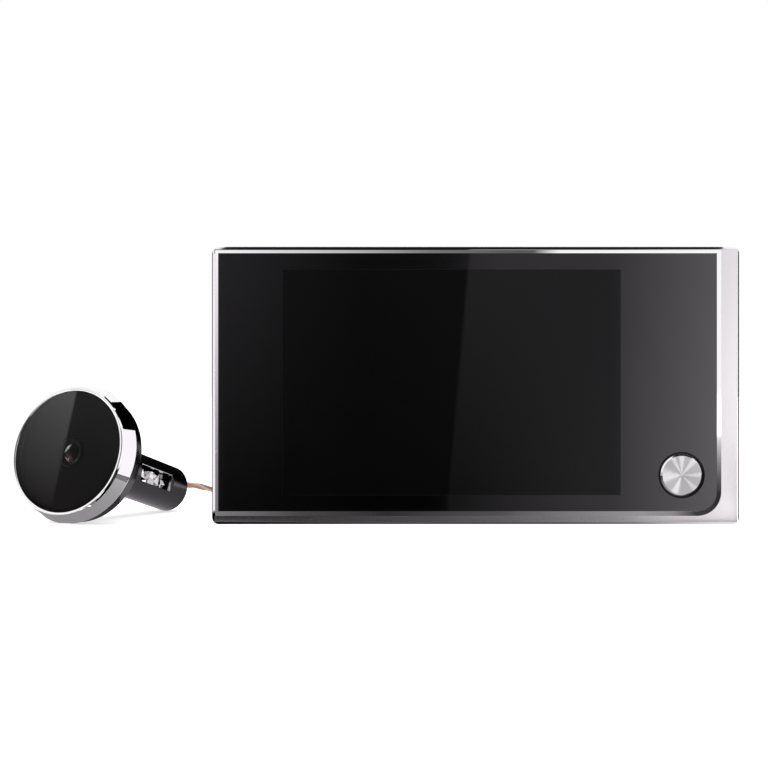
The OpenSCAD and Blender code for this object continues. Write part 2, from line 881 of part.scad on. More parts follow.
// The slider rests at the left end of its travel
module power_slider()
  color("#2a2a2c")
    translate([-slider_travel / 2, 0, 0])
      difference() {
        union() {
          slab(board_back + switch_deep - slider_sink, cover_in + weld)
            translate(switch_at)
              square(slider_stem, center = true);
          slab(cover_in, slider_back)
            translate(switch_at)
              square([slider_w, slider_h], center = true);
        }
        for (k = [-1, 0, 1])
          slab(slider_back - grip_depth, slider_back + past)
            translate(switch_at + [k * slider_w / 4, 0])
              square([slider_groove, slider_h + past], center = true);
      }

module button_cap()
  color("lightgray")
    turned(button_at, [[0, button_dish - button_proud], [button_d / 2 - button_bevel, -button_proud],
      [button_d / 2, button_bevel - button_proud], [button_d / 2, cap_back], [0, cap_back]]);

module button_carrier()
  color("#2a2a2c")
    turned(button_at, [[0, cap_back], [button_flange_r, cap_back],
      [button_flange_r, cap_back + button_flange_t], [button_stem_r, cap_back + button_flange_t],
      [button_stem_r, plunger_tip - fit], [0, plunger_tip - fit]]);

module tact_plunger()
  color("#2a2a2c")
    rod(button_at, plunger_r, plunger_tip, tact_front + plunger_sink);

module tact_switch()
  color("lightgray")
    difference() {
      slab(tact_front, board_d)
        translate(button_at)
          square(tact_w, center = true);
      rod(button_at, plunger_r + slide_gap, tact_front - past,
        tact_front + plunger_sink + button_travel + slide_gap);
    }

module button_board()
  color("darkgreen")
    slab(board_d, board_back)
      difference() {
        translate(button_at)
          square([button_board_w, button_board_h], center = true);
        for (p = button_board_points)
          translate(p)
            circle(small_screw_r + seat);
        for (p = case_points)
          translate(p)
            circle(boss_r + loose);
      }

module button_flex()
  color("orange")
    slab(board_back, board_back + flex_t)
      rect(board_x1 - flex_lap, button_at[0] - button_board_w / 2 + flex_lap,
        button_flex_z - button_flex_w / 2, button_flex_z + button_flex_w / 2);

// Slot for a sheet-metal hook, with round ends
module hook_slot(p)
  slab(cover_in - past, unit_t + past)
    translate(p) {
      square([hook_l - hook_w, hook_w], center = true);
      for (s = [-1, 1])
        translate([s * (hook_l - hook_w) / 2, 0])
          circle(hook_w / 2);
    }

// Room for the door's plate and for the tongues along its two edges
module door_channel() {
  slab(door_front + tongue_t + slide_gap, unit_t + past)
    rect(door_x0 - slide_gap, right_x + past, door_z0 - slide_gap, door_z1 + slide_gap);
  slab(door_front - slide_gap, door_front + tongue_t + slide_gap)
    rect(door_x0 - slide_gap, right_x + past, door_z0 - tongue_w - slide_gap,
      door_z1 + tongue_w + slide_gap);
}

module rear_cover()
  color("#1c1c1e")
    difference() {
      union() {
        difference() {
          cover_block();
          slab(seam_d - past, cover_in)
            frame_inside(seat + lip_t);
        }
        slab(seam_d - lip_h, seam_d + weld)
          difference() {
            frame_inside(seat);
            frame_inside(seat + lip_t);
          }
        slab(floor_front, door_front - slide_gap)
          bay_outline(bay_wall);
        for (p = case_points)
          rod(p, boss_r, boss_back + slide_gap, cover_in + weld);
        for (p = post_points)
          rod(p, pillar_r, board_back, cover_in + weld);
      }
      difference() {
        slab(floor_back, unit_t + past)
          bay_outline(0);
        for (k = [1 : cells - 1])
          slab(floor_back - weld, floor_back + ridge_h)
            rect(bay_x0 + spring_l, bay_x1 - spring_l, bay_z0 + k * cell_pitch + (loose - ridge_w) / 2,
              bay_z0 + k * cell_pitch + (loose + ridge_w) / 2);
      }
      door_channel();
      for (p = case_points) {
        rod(p, screw_r + seat, boss_back, unit_t + past);
        rod(p, head_r + seat, unit_t - head_h - seat, unit_t + past);
      }
      for (p = post_points)
        rod(p, small_screw_r + fit, board_back - past, board_back + small_screw_l);
      for (p = hook_points)
        hook_slot(p);
      slab(cover_in - past, unit_t + past)
        translate(switch_at)
          square([slider_w + slider_travel + 2 * slide_gap, slider_h + 2 * slide_gap], center = true);
      slab(cover_in - past, unit_t + past)
        translate(socket_at)
          rect(-plug_hood_w / 2 - well_gap, plug_hood_w / 2 + well_gap, -plug_hood_down - well_gap,
            plug_hood_up + well_gap);
    }

module battery_door()
  color("#1c1c1e")
    difference() {
      intersection() {
        union() {
          slab(door_front, unit_t)
            rect(door_x0, cover_x1, door_z0, door_z1);
          slab(door_front, door_front + tongue_t)
            rect(door_x0, cover_x1, door_z0 - tongue_w, door_z1 + tongue_w);
        }
        cover_block();
      }
      for (k = [0 : grip_ribs - 1])
        slab(unit_t - grip_depth, unit_t + past)
          rect(bay_x1 - k * grip_pitch - grip_pitch / 2, bay_x1 - k * grip_pitch,
            (door_z0 + door_z1 - grip_l) / 2, (door_z0 + door_z1 + grip_l) / 2);
    }

// Middle of the end wall at cell k, on the side of its spring or of its nub
function cell_z(k) = bay_z0 + loose + cell_d / 2 + k * cell_pitch;

// Frame of cell k, whose X runs from its spring plate to its nub: every second cell is turned round
module cell_pose(k)
  translate([k % 2 == 0 ? bay_x0 : bay_x1, cell_y, cell_z(k)])
    rotate([0, 0, k % 2 == 0 ? 0 : 180])
      children();

module cell(k)
  cell_pose(k)
    translate([contact_t + spring_l, 0, 0])
      rotate([0, 90, 0])
        rotate_extrude()
          polygon([[0, 0], [cell_d / 2 - 0.4, 0], [cell_d / 2, 0.4], [cell_d / 2, cell_l - nub_h - 0.4],
            [cell_d / 2 - 0.4, cell_l - nub_h], [nub_d / 2, cell_l - nub_h], [nub_d / 2, cell_l - 0.2],
            [nub_d / 2 - 0.2, cell_l], [0, cell_l]]);

module battery_1()
  color("darkorange")
    cell(0);

module battery_2()
  color("darkorange")
    cell(1);

module battery_3()
  color("darkorange")
    cell(2);

module battery_springs()
  color("lightgray")
    for (k = [0 : cells - 1])
      cell_pose(k)
        translate([contact_t, 0, 0])
          tube(spring_path, spring_wire / 2, 6, [1, 0, 0]);

// Plates that carry the springs, plates with a dimple for the nubs, and the strips that join neighbours
module contact_plates()
  color("gold") {
    for (k = [0 : cells - 1])
      cell_pose(k) {
        translate([0, -contact_w / 2, -contact_w / 2])
          cube([contact_t, contact_w, contact_w]);
        translate([bay_l - contact_t, -contact_w / 2, -contact_w / 2])
          cube([contact_t, contact_w, contact_w]);
        translate([bay_l - contact_t - dimple_h, 0, 0])
          rotate([0, 90, 0])
            cylinder(r = nub_d / 2, h = dimple_h + contact_t / 2);
      }
    for (k = [0 : cells - 2])
      cell_pose(k)
        translate([bay_l - contact_t, -contact_w / 4, -contact_w / 2])
          cube([contact_t, contact_w / 2, cell_pitch + contact_w]);
  }

module case_screws()
  color("dimgray")
    for (p = case_points)
      screw(p, screw_r, head_r, head_h, unit_t - seat, plate_back + past + screw_tip_gap);

// Screws of the main board go in from the front, those of the button board from the back
module board_screws()
  color("dimgray") {
    small_tip = board_back + small_screw_l - screw_tip_gap;
    for (p = post_points)
      turned(p, [[0, board_d - small_head_h], [small_head_r, board_d - small_head_h],
        [small_head_r, board_d], [small_screw_r, board_d], [small_screw_r, small_tip], [0, small_tip]]);
    for (p = button_board_points)
      screw(p, small_screw_r, small_head_r, small_head_h, board_back + small_head_h,
        board_d - small_screw_l);
  }

module camera_bezel()
  color("gainsboro")
    camera_turned([[window_r + fit, ring_slope], [window_r + fit + ring_land, 0],
      [head_front_r - ring_edge, ring_slope], [head_front_r, ring_edge + ring_slope],
      [head_max_r, band_l - rear_edge], [head_max_r - rear_edge, band_l], [cup_r + fit, band_l],
      [cup_r + fit, ledge_front + ledge_t], [window_r - ledge_w, ledge_front + ledge_t],
      [window_r - ledge_w, ledge_front], [window_r + fit, ledge_front]]);

module camera_window()
  color("black")
    camera_pose()
      disc(window_r, window_front, window_front + window_t);

module window_seal()
  color("dimgray")
    camera_pose()
      difference() {
        disc(window_r - fit, window_front + window_t, ledge_front);
        disc(window_r - ledge_w, window_front, ledge_front + past);
      }

module lens_shroud()
  color("#151515")
    camera_pose()
      difference() {
        disc(cup_r - fit, shroud_front, shroud_front + shroud_t);
        disc(lens_d / 2 + seat, shroud_front - past, shroud_front + shroud_t + past);
      }

module lens_front()
  color("seagreen")
    camera_pose()
      intersection() {
        disc(lens_glass_d / 2, lens_front_d, lens_front_d + lens_front_t);
        translate([0, 0, lens_front_d + lens_glass_d])
          sphere(lens_glass_d);
      }

module lens_barrel()
  color("#222222")
    camera_turned([[lens_glass_d / 2 + fit, lens_front_d + lens_countersink],
      [lens_d / 2 - lens_face, lens_front_d], [lens_d / 2, lens_front_d + lens_chamfer],
      [lens_d / 2, lens_back_d], [lens_glass_d / 2 + fit, lens_back_d]]);

module lens_rear()
  color("indianred")
    camera_pose()
      disc(lens_glass_d / 2, lens_back_d - lens_rear_up - lens_rear_t, lens_back_d - lens_rear_up);

module lens_holder()
  color("#222222")
    camera_pose()
      difference() {
        block(holder_w, holder_w, holder_front, sensor_board_front);
        disc(lens_d / 2 + fit, holder_front - past, lens_back_d + slide_gap);
        block(sensor_w + 2 * sensor_room, sensor_h + 2 * sensor_room, lens_back_d + slide_gap,
          sensor_board_front + past);
      }

module image_sensor()
  color("#304050")
    camera_pose()
      block(sensor_w, sensor_h, sensor_board_front - sensor_t, sensor_board_front);

module sensor_board()
  color("darkgreen")
    camera_pose()
      difference() {
        disc(sensor_board_r, sensor_board_front, sensor_board_back);
        sensor_ring()
          disc(small_screw_r + seat, sensor_board_front - past, sensor_board_back + past);
      }

// Copies at each screw of the sensor board
module sensor_ring()
  for (k = [0 : sensor_screws - 1])
    rotate([0, 0, 90 + 360 * k / sensor_screws])
      translate([sensor_screw_ring, 0, 0])
        children();

module sensor_connector()
  color("ivory")
    camera_pose()
      block(link_w, link_h, sensor_board_back, sensor_board_back + link_t);

module camera_screws()
  color("dimgray")
    camera_pose()
      sensor_ring()
        rotate_extrude()
          polygon([[0, sensor_board_front - small_head_h],
            [small_head_r, sensor_board_front - small_head_h],
            [small_head_r, sensor_board_front], [small_screw_r, sensor_board_front],
            [small_screw_r, step_back - screw_stop], [0, step_back - screw_stop]]);

module camera_barrel()
  color("#3c3c40")
    difference() {
      union() {
        camera_turned([[bore_r, camera_l], [barrel_r - end_edge, camera_l], [barrel_r, camera_l - end_edge],
          [barrel_r, step_back], [step_r - rear_edge, step_back], [step_r, step_back - rear_edge],
          [step_r, band_l], [cup_r, band_l], [cup_r, cup_front], [cup_in_r, cup_front],
          [cup_in_r, step_back - rear_wall], [bore_r, step_back - rear_wall]]);
        camera_pose()
          sensor_ring()
            disc(small_head_r, sensor_board_back, step_back - rear_wall + weld);
      }
      camera_pose() {
        sensor_ring()
          disc(small_screw_r + fit, sensor_board_back - past, step_back - screw_stop + slide_gap);
        rotate([0, 0, slot_turn])
          slot_cut();
      }
    }

// Section of the slot across the barrel's wall, with the bevel of its rim
module slot_section(low, high)
  polygon([[0, low], [barrel_r - slot_rim, low], [barrel_r + past, low - slot_rim - past],
    [barrel_r + past, high + slot_rim + past], [barrel_r - slot_rim, high], [0, high]]);

module slot_cut()
  intersection() {
    translate([0, 0, slot_at - slot_rim - past])
      linear_extrude(slot_l + 2 * (slot_rim + past))
        slot_section(-slot_w / 2, slot_w / 2);
    translate([0, barrel_r, 0])
      rotate([90, 0, 0])
        linear_extrude(barrel_d)
          slot_section(slot_at, slot_at + slot_l);
  }

// Foil round the wires inside the barrel, which shows through the slot
module cable_shield() {
  rows = 18;
  sides = 20;
  points = [for (i = [0 : rows - 1], k = [0 : sides - 1])
    let (s = foil_front + (foil_back - foil_front) * i / (rows - 1), a = 360 * k / sides,
      r = foil_r - foil_crumple * (0.5 + 0.5 * sin(3 * a + 131 * i) * cos(5 * a - 97 * i)))
    [r * cos(a), r * sin(a), s]];
  walls = [for (i = [0 : rows - 2], k = [0 : sides - 1])
    let (a = i * sides + k, b = i * sides + (k + 1) % sides)
    each [[a, a + sides, b], [b, a + sides, b + sides]]];
  last = (rows - 1) * sides;
  caps = [for (k = [1 : sides - 2]) each [[0, k, k + 1], [last, last + k + 1, last + k]]];
  color("silver")
    camera_pose()
      polyhedron(points, concat(walls, caps));
}

module cable_grommet()
  color("#252525")
    camera_pose() {
      disc(bore_r - fit, camera_l - grommet_l, camera_l - grommet_sink);
      translate([0, -lead_up, 0])
        rotate_extrude()
          polygon([[0, camera_l - grommet_l], [nozzle_r, camera_l - grommet_l],
            [nozzle_r, camera_l + nozzle_l / 2], [lead_r + nozzle_lip, camera_l + nozzle_l],
            [0, camera_l + nozzle_l]]);
    }

module camera_cable()
  color("tan")
    tube(smooth(lead_route, lead_steps), lead_r, lead_sides, [0, 0, 1]);

// Plug whose hood turns the lead down the back of the monitor
module camera_plug()
  color("#ece6d8")
    difference() {
      union() {
        slab(board_back + socket_wall + seat, plug_hood_front + weld)
          translate(socket_at)
            square([socket_w, socket_h] - 2 * (socket_wall + seat) * [1, 1], center = true);
        slab(plug_hood_front, plug_back)
          translate(socket_at)
            round_rect(-plug_hood_w / 2, plug_hood_w / 2, -plug_hood_down, plug_hood_up, plug_r);
      }
      for (k = [-2 : 2])
        slab(plug_back - grip_depth, plug_back + past)
          translate(socket_at + [0, k * plug_rib_pitch - (plug_hood_down - plug_hood_up) / 2])
            square([plug_hood_w - 2 * plug_r, plug_rib_pitch / 2], center = true);
    }

front_frame();
bezel_trim();
front_glass();
glass_tape();
lcd_panel();
lcd_backlight();
lcd_shield();
lcd_flex();
lcd_connector();
main_board();
video_chip();
memory_chip();
power_coils();
capacitors();
camera_socket();
power_switch();
power_slider();
button_cap();
button_carrier();
tact_plunger();
tact_switch();
button_board();
button_flex();
rear_cover();
battery_door();
battery_1();
battery_2();
battery_3();
battery_springs();
contact_plates();
case_screws();
board_screws();
camera_bezel();
camera_window();
window_seal();
lens_shroud();
lens_front();
lens_barrel();
lens_rear();
lens_holder();
image_sensor();
sensor_board();
sensor_connector();
camera_screws();
camera_barrel();
cable_shield();
cable_grommet();
camera_cable();
camera_plug();
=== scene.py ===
"""Looks of a peephole door camera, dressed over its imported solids.

Shapes are written in millimetres, in the frame of the solids, and become metres where a mesh is made.
The set round the object is stage: a white table, and flat cards that only gloss and glass see.
"""

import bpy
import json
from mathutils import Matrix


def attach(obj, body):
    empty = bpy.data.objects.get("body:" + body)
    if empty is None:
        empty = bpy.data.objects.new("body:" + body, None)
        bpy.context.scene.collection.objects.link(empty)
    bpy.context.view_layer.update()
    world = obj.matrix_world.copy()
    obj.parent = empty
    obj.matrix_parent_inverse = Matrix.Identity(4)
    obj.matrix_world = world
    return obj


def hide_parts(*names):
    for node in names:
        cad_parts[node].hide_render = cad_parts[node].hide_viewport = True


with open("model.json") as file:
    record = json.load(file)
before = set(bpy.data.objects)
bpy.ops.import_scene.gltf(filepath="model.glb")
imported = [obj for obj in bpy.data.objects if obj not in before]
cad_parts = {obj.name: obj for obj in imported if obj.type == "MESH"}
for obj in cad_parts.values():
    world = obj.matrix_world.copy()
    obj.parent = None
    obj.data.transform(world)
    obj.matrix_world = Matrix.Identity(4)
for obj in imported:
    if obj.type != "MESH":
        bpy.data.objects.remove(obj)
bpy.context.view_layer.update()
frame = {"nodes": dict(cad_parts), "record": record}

import json
import math

import bmesh
import bpy
from mathutils import Matrix, Vector, noise

MM = 0.001
scene = bpy.context.scene
scene.view_settings.view_transform = "Standard"

# The view, level with the middle of the monitor

EYE = Vector((-23.1, -408.25, 35.4))
FOCAL_LENGTH = 74.6
SENSOR_WIDTH = 36.0

lens = bpy.data.cameras.new("view")
lens.lens = FOCAL_LENGTH
lens.sensor_width = SENSOR_WIDTH
view = bpy.data.objects.new("view", lens)
view.location = EYE * MM
view.rotation_euler = (math.radians(90), 0, 0)
scene.collection.objects.link(view)
scene.camera = view

# Sizes repeated from the part's source

# Fronts of the glass and of the frame's band, and outer edges of the trim
GLASS_FRONT = -8.25
BAND_FRONT = -7.65
TRIM_RIGHT = 61.8
TRIM_LOW = 2.2
# Left, right, lower and upper edge of the picture behind the glass
PICTURE = (-48.75, 36.55, 7.35, 64.35)
# Middle of the button's face, and its radius inside the bevel
BUTTON_AT = Vector((51.7, -8.25, 12.5))
BUTTON_FLAT_R = 4.85
# Middle of the camera's front, and the way back along its barrel
CAMERA_FRONT = Vector((-103.5, -5.3, 18.48132))
CAMERA_YAW = math.radians(25)
CAMERA_TILT = math.radians(14.737167504)
CAMERA_AXIS = Vector((0.40872, 0.87649, -0.25439))
# Ring of the camera's head: radius, and distance behind the camera's front
RING = [(15.8, 0.1), (16.4, 0.0), (16.55, 0.1), (16.9, 0.45), (17.9, 4.6), (17.5, 5.0), (15.8, 5.0),
        (15.8, 2.2), (14.85, 2.2), (14.85, 1.6), (15.8, 1.6)]
# Outer and inner radius of the barrel
BARREL_R = 6.3
BORE_R = 5.0
# Both ends of the slot and of the foil, behind the camera's front
SLOT = (26, 41)
FOIL = (13.3, 46.0)
FOIL_R = 4.3
# The lead: its start, its straight stretch along the barrel's axis, its lay, its end and the rise to it
LEAD_START = Vector((-81.92428, 40.96929, 8.15459))
LEAD_STRAIGHT = (3, 6)
LEAD_LAY = [(-77.1, 51, 6), (-74.4, 55.3, 5), (-70, 59.3, 3.5), (-64.5, 61.9, 2.1), (-58.5, 62.8, 1.3),
            (-53, 61.8, 1), (-48, 59, 1), (-43, 54.6, 1), (-38, 50, 1), (-32, 46.5, 1), (-25, 46, 1),
            (-18, 48, 1), (-11, 48.5, 1), (-5, 45.5, 1), (-2, 40, 1), (-3, 34, 1), (-7, 29, 1),
            (-12, 25.5, 1), (-16, 21.5, 1.6), (-18, 17, 3.4), (-18.4, 13, 7.4), (-18.2, 10.6, 13)]
LEAD_END = Vector((-18, 9.55, 23.95))
LEAD_RISE = 4
LEAD_D = 1.8
# Both ends of the battery bay, and the cells' axes
BAY_X = (8.9, 59.5)
CELL_Y = 1.8
CELL_Z = (27.55, 38.35, 49.15)
# Battery springs: where they start in the bay, their length, radii and wire
SPRING_START = 0.4
SPRING_LENGTH = 4.5
SPRING_R = (3.4, 2.2)
SPRING_WIRE = 0.6
SPRING_TURNS = 3.5

# Frame of the camera: z runs back along its barrel, y down and x to the right
CAMERA_POSE = (Matrix.Translation(CAMERA_FRONT) @ Matrix.Rotation(-CAMERA_YAW, 4, "Z")
               @ Matrix.Rotation(-math.pi / 2 - CAMERA_TILT, 4, "X"))

# Sizes of the finer forms

RING_ROUND = 0.25
# The lead's wires: radius as a part of the lead's width, slack to its outside, and length of a turn
WIRE_PART = 0.215
WIRE_SLACK = 0.04
WIRE_PITCH = 26.0
# Room between a battery spring and what it presses on
SPRING_ROOM = 0.05
# The foil's folds: starts of the noise that shifts a corner round, along and out, and its reach each way
FOIL_ROWS = 24
FOIL_SIDES = 15
FOIL_SEEDS = [(0.1, 1.1, 2.2), (5.7, 3.1, 9.4), (11.2, 7.9, 4.6)]
FOIL_REACH = (0.9, 0.7, 1.7)
FOIL_NOISE = 2.3
FOIL_ROW_STEP = 0.9
FOIL_SINK = 0.55
FOIL_CREASE = math.radians(6)


# Mesh tools

def piece(name, shape, materials, crease=math.radians(40)):
    """A mesh piece from (points, faces, material numbers), smooth but for edges sharper than crease."""
    points, faces, numbers = shape
    mesh = bpy.data.meshes.new(name)
    mesh.from_pydata([Vector(p) * MM for p in points], [], faces)
    for paint in materials:
        mesh.materials.append(paint)
    mesh.polygons.foreach_set("material_index", numbers)
    shell = bmesh.new()
    shell.from_mesh(mesh)
    bmesh.ops.remove_doubles(shell, verts=shell.verts, dist=1e-7)
    bmesh.ops.recalc_face_normals(shell, faces=shell.faces)
    for face in shell.faces:
        face.smooth = True
    for edge in shell.edges:
        edge.smooth = len(edge.link_faces) == 2 and edge.calc_face_angle(0.0) < crease
    shell.to_mesh(mesh)
    shell.free()
    obj = bpy.data.objects.new(name, mesh)
    scene.collection.objects.link(obj)
    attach(obj, "housing")
    return obj


def joined(shapes):
    """Several shapes as one, each with its own material number."""
    points, faces, numbers = [], [], []
    for number, (more, walls, _) in enumerate(shapes):
        faces += [tuple(i + len(points) for i in wall) for wall in walls]
        numbers += [number] * len(walls)
        points += more
    return points, faces, numbers


def grid(rows, closed_rows=False):
    """Skin over rows of points, each row a ring; the end rings are capped, or joined to each other."""
    sides = len(rows[0])
    points = [p for row in rows for p in row]
    faces = []
    for i in range(len(rows) if closed_rows else len(rows) - 1):
        a, b = i * sides, (i + 1) % len(rows) * sides
        for k in range(sides):
            m = (k + 1) % sides
            faces.append((a + k, a + m, b + m, b + k))
    if not closed_rows:
        faces += end_caps(len(points), sides)
    return points, faces, [0] * len(faces)


def end_caps(count, sides):
    """Faces over the first and the last ring of a skin with that many points."""
    return [tuple(reversed(range(sides))), tuple(range(count - sides, count))]


def rounded(outline, radius, steps=6):
    """A closed outline whose corners become curves of about that radius, less where the sides are short."""
    least_slope, most_of_side = 0.05, 0.48
    result = []
    for i, corner in enumerate(outline):
        corner = Vector(corner)
        before = Vector(outline[i - 1]) - corner
        after = Vector(outline[(i + 1) % len(outline)]) - corner
        turn = before.angle(after)
        reach = min(radius / max(math.tan(turn / 2), least_slope), before.length * most_of_side,
                    after.length * most_of_side)
        start = corner + before.normalized() * reach
        end = corner + after.normalized() * reach
        for k in range(steps + 1):
            t = k / steps
            result.append((1 - t) ** 2 * start + 2 * t * (1 - t) * corner + t * t * end)
    return result


def lathe(outline, place, sides=180):
    """A closed outline of (radius, height) turned round the z axis of place."""
    rows = []
    for i in range(sides):
        angle = 2 * math.pi * i / sides
        rows.append([place @ Vector((r * math.cos(angle), r * math.sin(angle), h)) for r, h in outline])
    return grid(rows, closed_rows=True)


def smooth_path(route, steps):
    """Points of a smooth curve through a route."""
    last = len(route) - 1
    path = []
    for i in range(last):
        a, b, c, d = route[max(i - 1, 0)], route[i], route[i + 1], route[min(i + 2, last)]
        for k in range(steps):
            t = k / steps
            path.append(0.5 * (2 * b + (c - a) * t + (2 * a - 5 * b + 4 * c - d) * t * t
                               + (3 * b - a - 3 * c + d) * t ** 3))
    return path + [route[last]]


def carried(path, start):
    """Two directions square to a path and to each other at each point, turning no more than it does."""
    frames = []
    side = Vector(start)
    for i in range(len(path)):
        along = (path[min(i + 1, len(path) - 1)] - path[max(i - 1, 0)]).normalized()
        side = (side - side.dot(along) * along).normalized()
        frames.append((side, along.cross(side)))
    return frames


def tube(path, radius, sides, start=(0, 0, 1)):
    """A round wire along a path."""
    rows = []
    for point, (side, up) in zip(path, carried(path, start)):
        rows.append([point + radius * (math.cos(a) * side + math.sin(a) * up)
                     for a in (2 * math.pi * k / sides for k in range(sides))])
    return grid(rows)


# Material tools

# Noise lies mostly between these values
NOISE = (0.3, 0.7)


class Paint:
    """A node material with short calls that add nodes to it; sockets are given by name or number."""

    def __init__(self, name, **sockets):
        self.material = bpy.data.materials.new(name)
        self.material.use_nodes = True
        self.tree = self.material.node_tree
        self.shader = self.tree.nodes["Principled BSDF"]
        self.tone(**sockets)
        self.point = self.add("ShaderNodeTexCoord").outputs["Object"]

    def tone(self, **sockets):
        """Sets or links sockets of the shader, with _ for each space in a name."""
        self.feed(self.shader, {key.replace("_", " "): value for key, value in sockets.items()})

    def feed(self, node, sockets):
        for key, value in sockets.items():
            socket = node.inputs[key]
            if isinstance(value, bpy.types.NodeSocket):
                self.tree.links.new(value, socket)
            else:
                socket.default_value = value

    def add(self, kind, sockets=(), **settings):
        node = self.tree.nodes.new(kind)
        for key, value in settings.items():
            setattr(node, key, value)
        self.feed(node, dict(sockets))
        return node

    def noise(self, scale, detail=3.0, stretch=None):
        point = self.point
        if stretch:
            point = self.add("ShaderNodeMapping", {"Vector": point, "Scale": stretch}).outputs[0]
        return self.add("ShaderNodeTexNoise", {"Vector": point, "Scale": scale, "Detail": detail}).outputs[0]

    def rings(self, place, scale, detail):
        """Noise along one distance, such as the marks of a lathe."""
        return self.add("ShaderNodeTexNoise", {"W": place, "Scale": scale, "Detail": detail},
                        noise_dimensions="1D").outputs[0]

    def axes(self):
        return self.add("ShaderNodeSeparateXYZ", {0: self.point}).outputs

    def span(self, value, low, high, to_low=0.0, to_high=1.0, kind="LINEAR"):
        return self.add("ShaderNodeMapRange", {0: value, 1: low, 2: high, 3: to_low, 4: to_high},
                        interpolation_type=kind).outputs[0]

    def ramp(self, value, start, end, low=0.0, high=1.0):
        """Level that runs from low at one place to high at another, the places in millimetres."""
        return self.span(value, start * MM, end * MM, low, high)

    def profile(self, value, stops):
        """Level that runs straight from stop to stop, each a place in millimetres and a level up to 1."""
        low, high = stops[0][0], stops[-1][0]
        ramp = self.add("ShaderNodeValToRGB", {0: self.ramp(value, low, high)})
        elements = ramp.color_ramp.elements
        for place, _ in stops[1:-1]:
            elements.new((place - low) / (high - low))
        for element, (_, level) in zip(elements, stops):
            element.color = (level, level, level, 1.0)
        return ramp.outputs[0]

    def waver(self, low, high):
        """Level that changes a little over a wide surface."""
        return self.span(self.noise(3.0), 0.0, 1.0, low, high)

    def math(self, operation, a, b=0.0):
        return self.add("ShaderNodeMath", {0: a, 1: b}, operation=operation).outputs[0]

    def both(self, a, b):
        return self.math("MULTIPLY", a, b)

    def either(self, a, b):
        return self.math("MAXIMUM", a, b)

    def mix(self, factor, a, b):
        return self.add("ShaderNodeMix", {0: factor, 6: a, 7: b}, data_type="RGBA").outputs[2]

    def blend(self, factor, a, b):
        return self.add("ShaderNodeMix", {0: factor, 2: a, 3: b}, data_type="FLOAT").outputs[0]

    def vector(self, operation, a, b=(0, 0, 0)):
        node = self.add("ShaderNodeVectorMath", {0: a, 1: b}, operation=operation)
        return node.outputs["Value" if operation in ("DOT_PRODUCT", "LENGTH") else "Vector"]

    def along_barrel(self):
        """Distance back along the camera's axis, and distance from that axis."""
        away = self.vector("SUBTRACT", self.point, CAMERA_FRONT * MM)
        back = self.vector("DOT_PRODUCT", away, CAMERA_AXIS)
        square = self.math("SUBTRACT", self.vector("DOT_PRODUCT", away, away), self.both(back, back))
        return back, self.math("SQRT", self.either(square, 0.0))

    def relief(self, height, depth):
        bump = self.add("ShaderNodeBump", {"Height": height, "Distance": depth * MM})
        self.tone(Normal=bump.outputs[0])


def rgb(r, g, b):
    return (r, g, b, 1.0)


def shaded(color, factor):
    return rgb(*(min(c * factor, 1.0) for c in color))


def surface(name, color, rough, metal=0.0, shade=0.08, spread=0.05, grain=3000.0, depth=0.0, stretch=None):
    """A finish whose tone and roughness vary in patches and grains, with a fine relief if depth is given."""
    paint = Paint(name, Metallic=metal)
    patches = paint.noise(70.0, 4.0)
    grains = paint.noise(grain, 3.0, stretch)
    level = paint.math("ADD", paint.both(patches, 0.5), paint.both(grains, 0.5))
    dark, light = shaded(color, 1 - shade), shaded(color, 1 + shade)
    paint.tone(Base_Color=paint.mix(paint.span(level, *NOISE), dark, light),
               Roughness=paint.span(level, *NOISE, max(rough - spread, 0.0), rough + spread))
    if depth:
        paint.relief(grains, depth)
    return paint


# The finishes, by the record's slots

def frame_metal():
    """Satin metal with polished edges round the front, and no satin along its left and its top."""
    edge = 0.1
    corner = 4
    satin_starts = 1.1
    paint = Paint("satin_silver", Metallic=1.0)
    x, y, z = paint.axes()
    band = paint.either(paint.ramp(x, TRIM_RIGHT - edge, TRIM_RIGHT),
                        paint.ramp(z, TRIM_LOW + edge, TRIM_LOW))
    inside = paint.both(paint.ramp(x, TRIM_RIGHT - corner - edge, TRIM_RIGHT - corner),
                        paint.ramp(z, TRIM_LOW + corner + edge, TRIM_LOW + corner))
    front = paint.ramp(y, BAND_FRONT + 0.05, BAND_FRONT + 0.02)
    satin = paint.either(paint.both(paint.either(band, inside), front),
                         paint.ramp(y, BAND_FRONT + satin_starts, BAND_FRONT + satin_starts + edge))
    grains = paint.noise(9000.0, 2.0)
    patches = paint.span(paint.noise(60.0), *NOISE, 0.0, 0.03)
    paint.tone(Base_Color=paint.mix(grains, rgb(0.87, 0.862, 0.87), rgb(0.95, 0.942, 0.95)),
               Roughness=paint.math("ADD", paint.span(satin, 0.0, 1.0, 0.03, 0.18), patches))
    paint.relief(paint.both(grains, satin), 0.0015)
    return paint


def printed_glass():
    """Cover glass over grey metallic print, with a darker panel in front of the picture."""
    soft = 0.25
    paint = Paint("black_glass", Metallic=1.0, Coat_Weight=1.0, Coat_Roughness=0.012, Coat_IOR=1.5)
    x, _, z = paint.axes()
    left, right, low, high = PICTURE
    panel = paint.both(paint.both(paint.ramp(x, left, left + soft), paint.ramp(x, right, right - soft)),
                       paint.both(paint.ramp(z, low, low + soft), paint.ramp(z, high, high - soft)))
    grains = paint.noise(20000.0, 2.0)
    print_tone = paint.mix(grains, rgb(0.073, 0.069, 0.074), rgb(0.083, 0.079, 0.084))
    panel_tone = paint.mix(grains, rgb(0.0108, 0.0101, 0.0111), rgb(0.0128, 0.0121, 0.0132))
    patches = paint.span(paint.noise(90.0), *NOISE, 0.0, 0.03)
    paint.tone(Base_Color=paint.mix(panel, print_tone, panel_tone),
               Roughness=paint.math("ADD", patches, paint.span(panel, 0.0, 1.0, 0.12, 0.5)))
    return paint


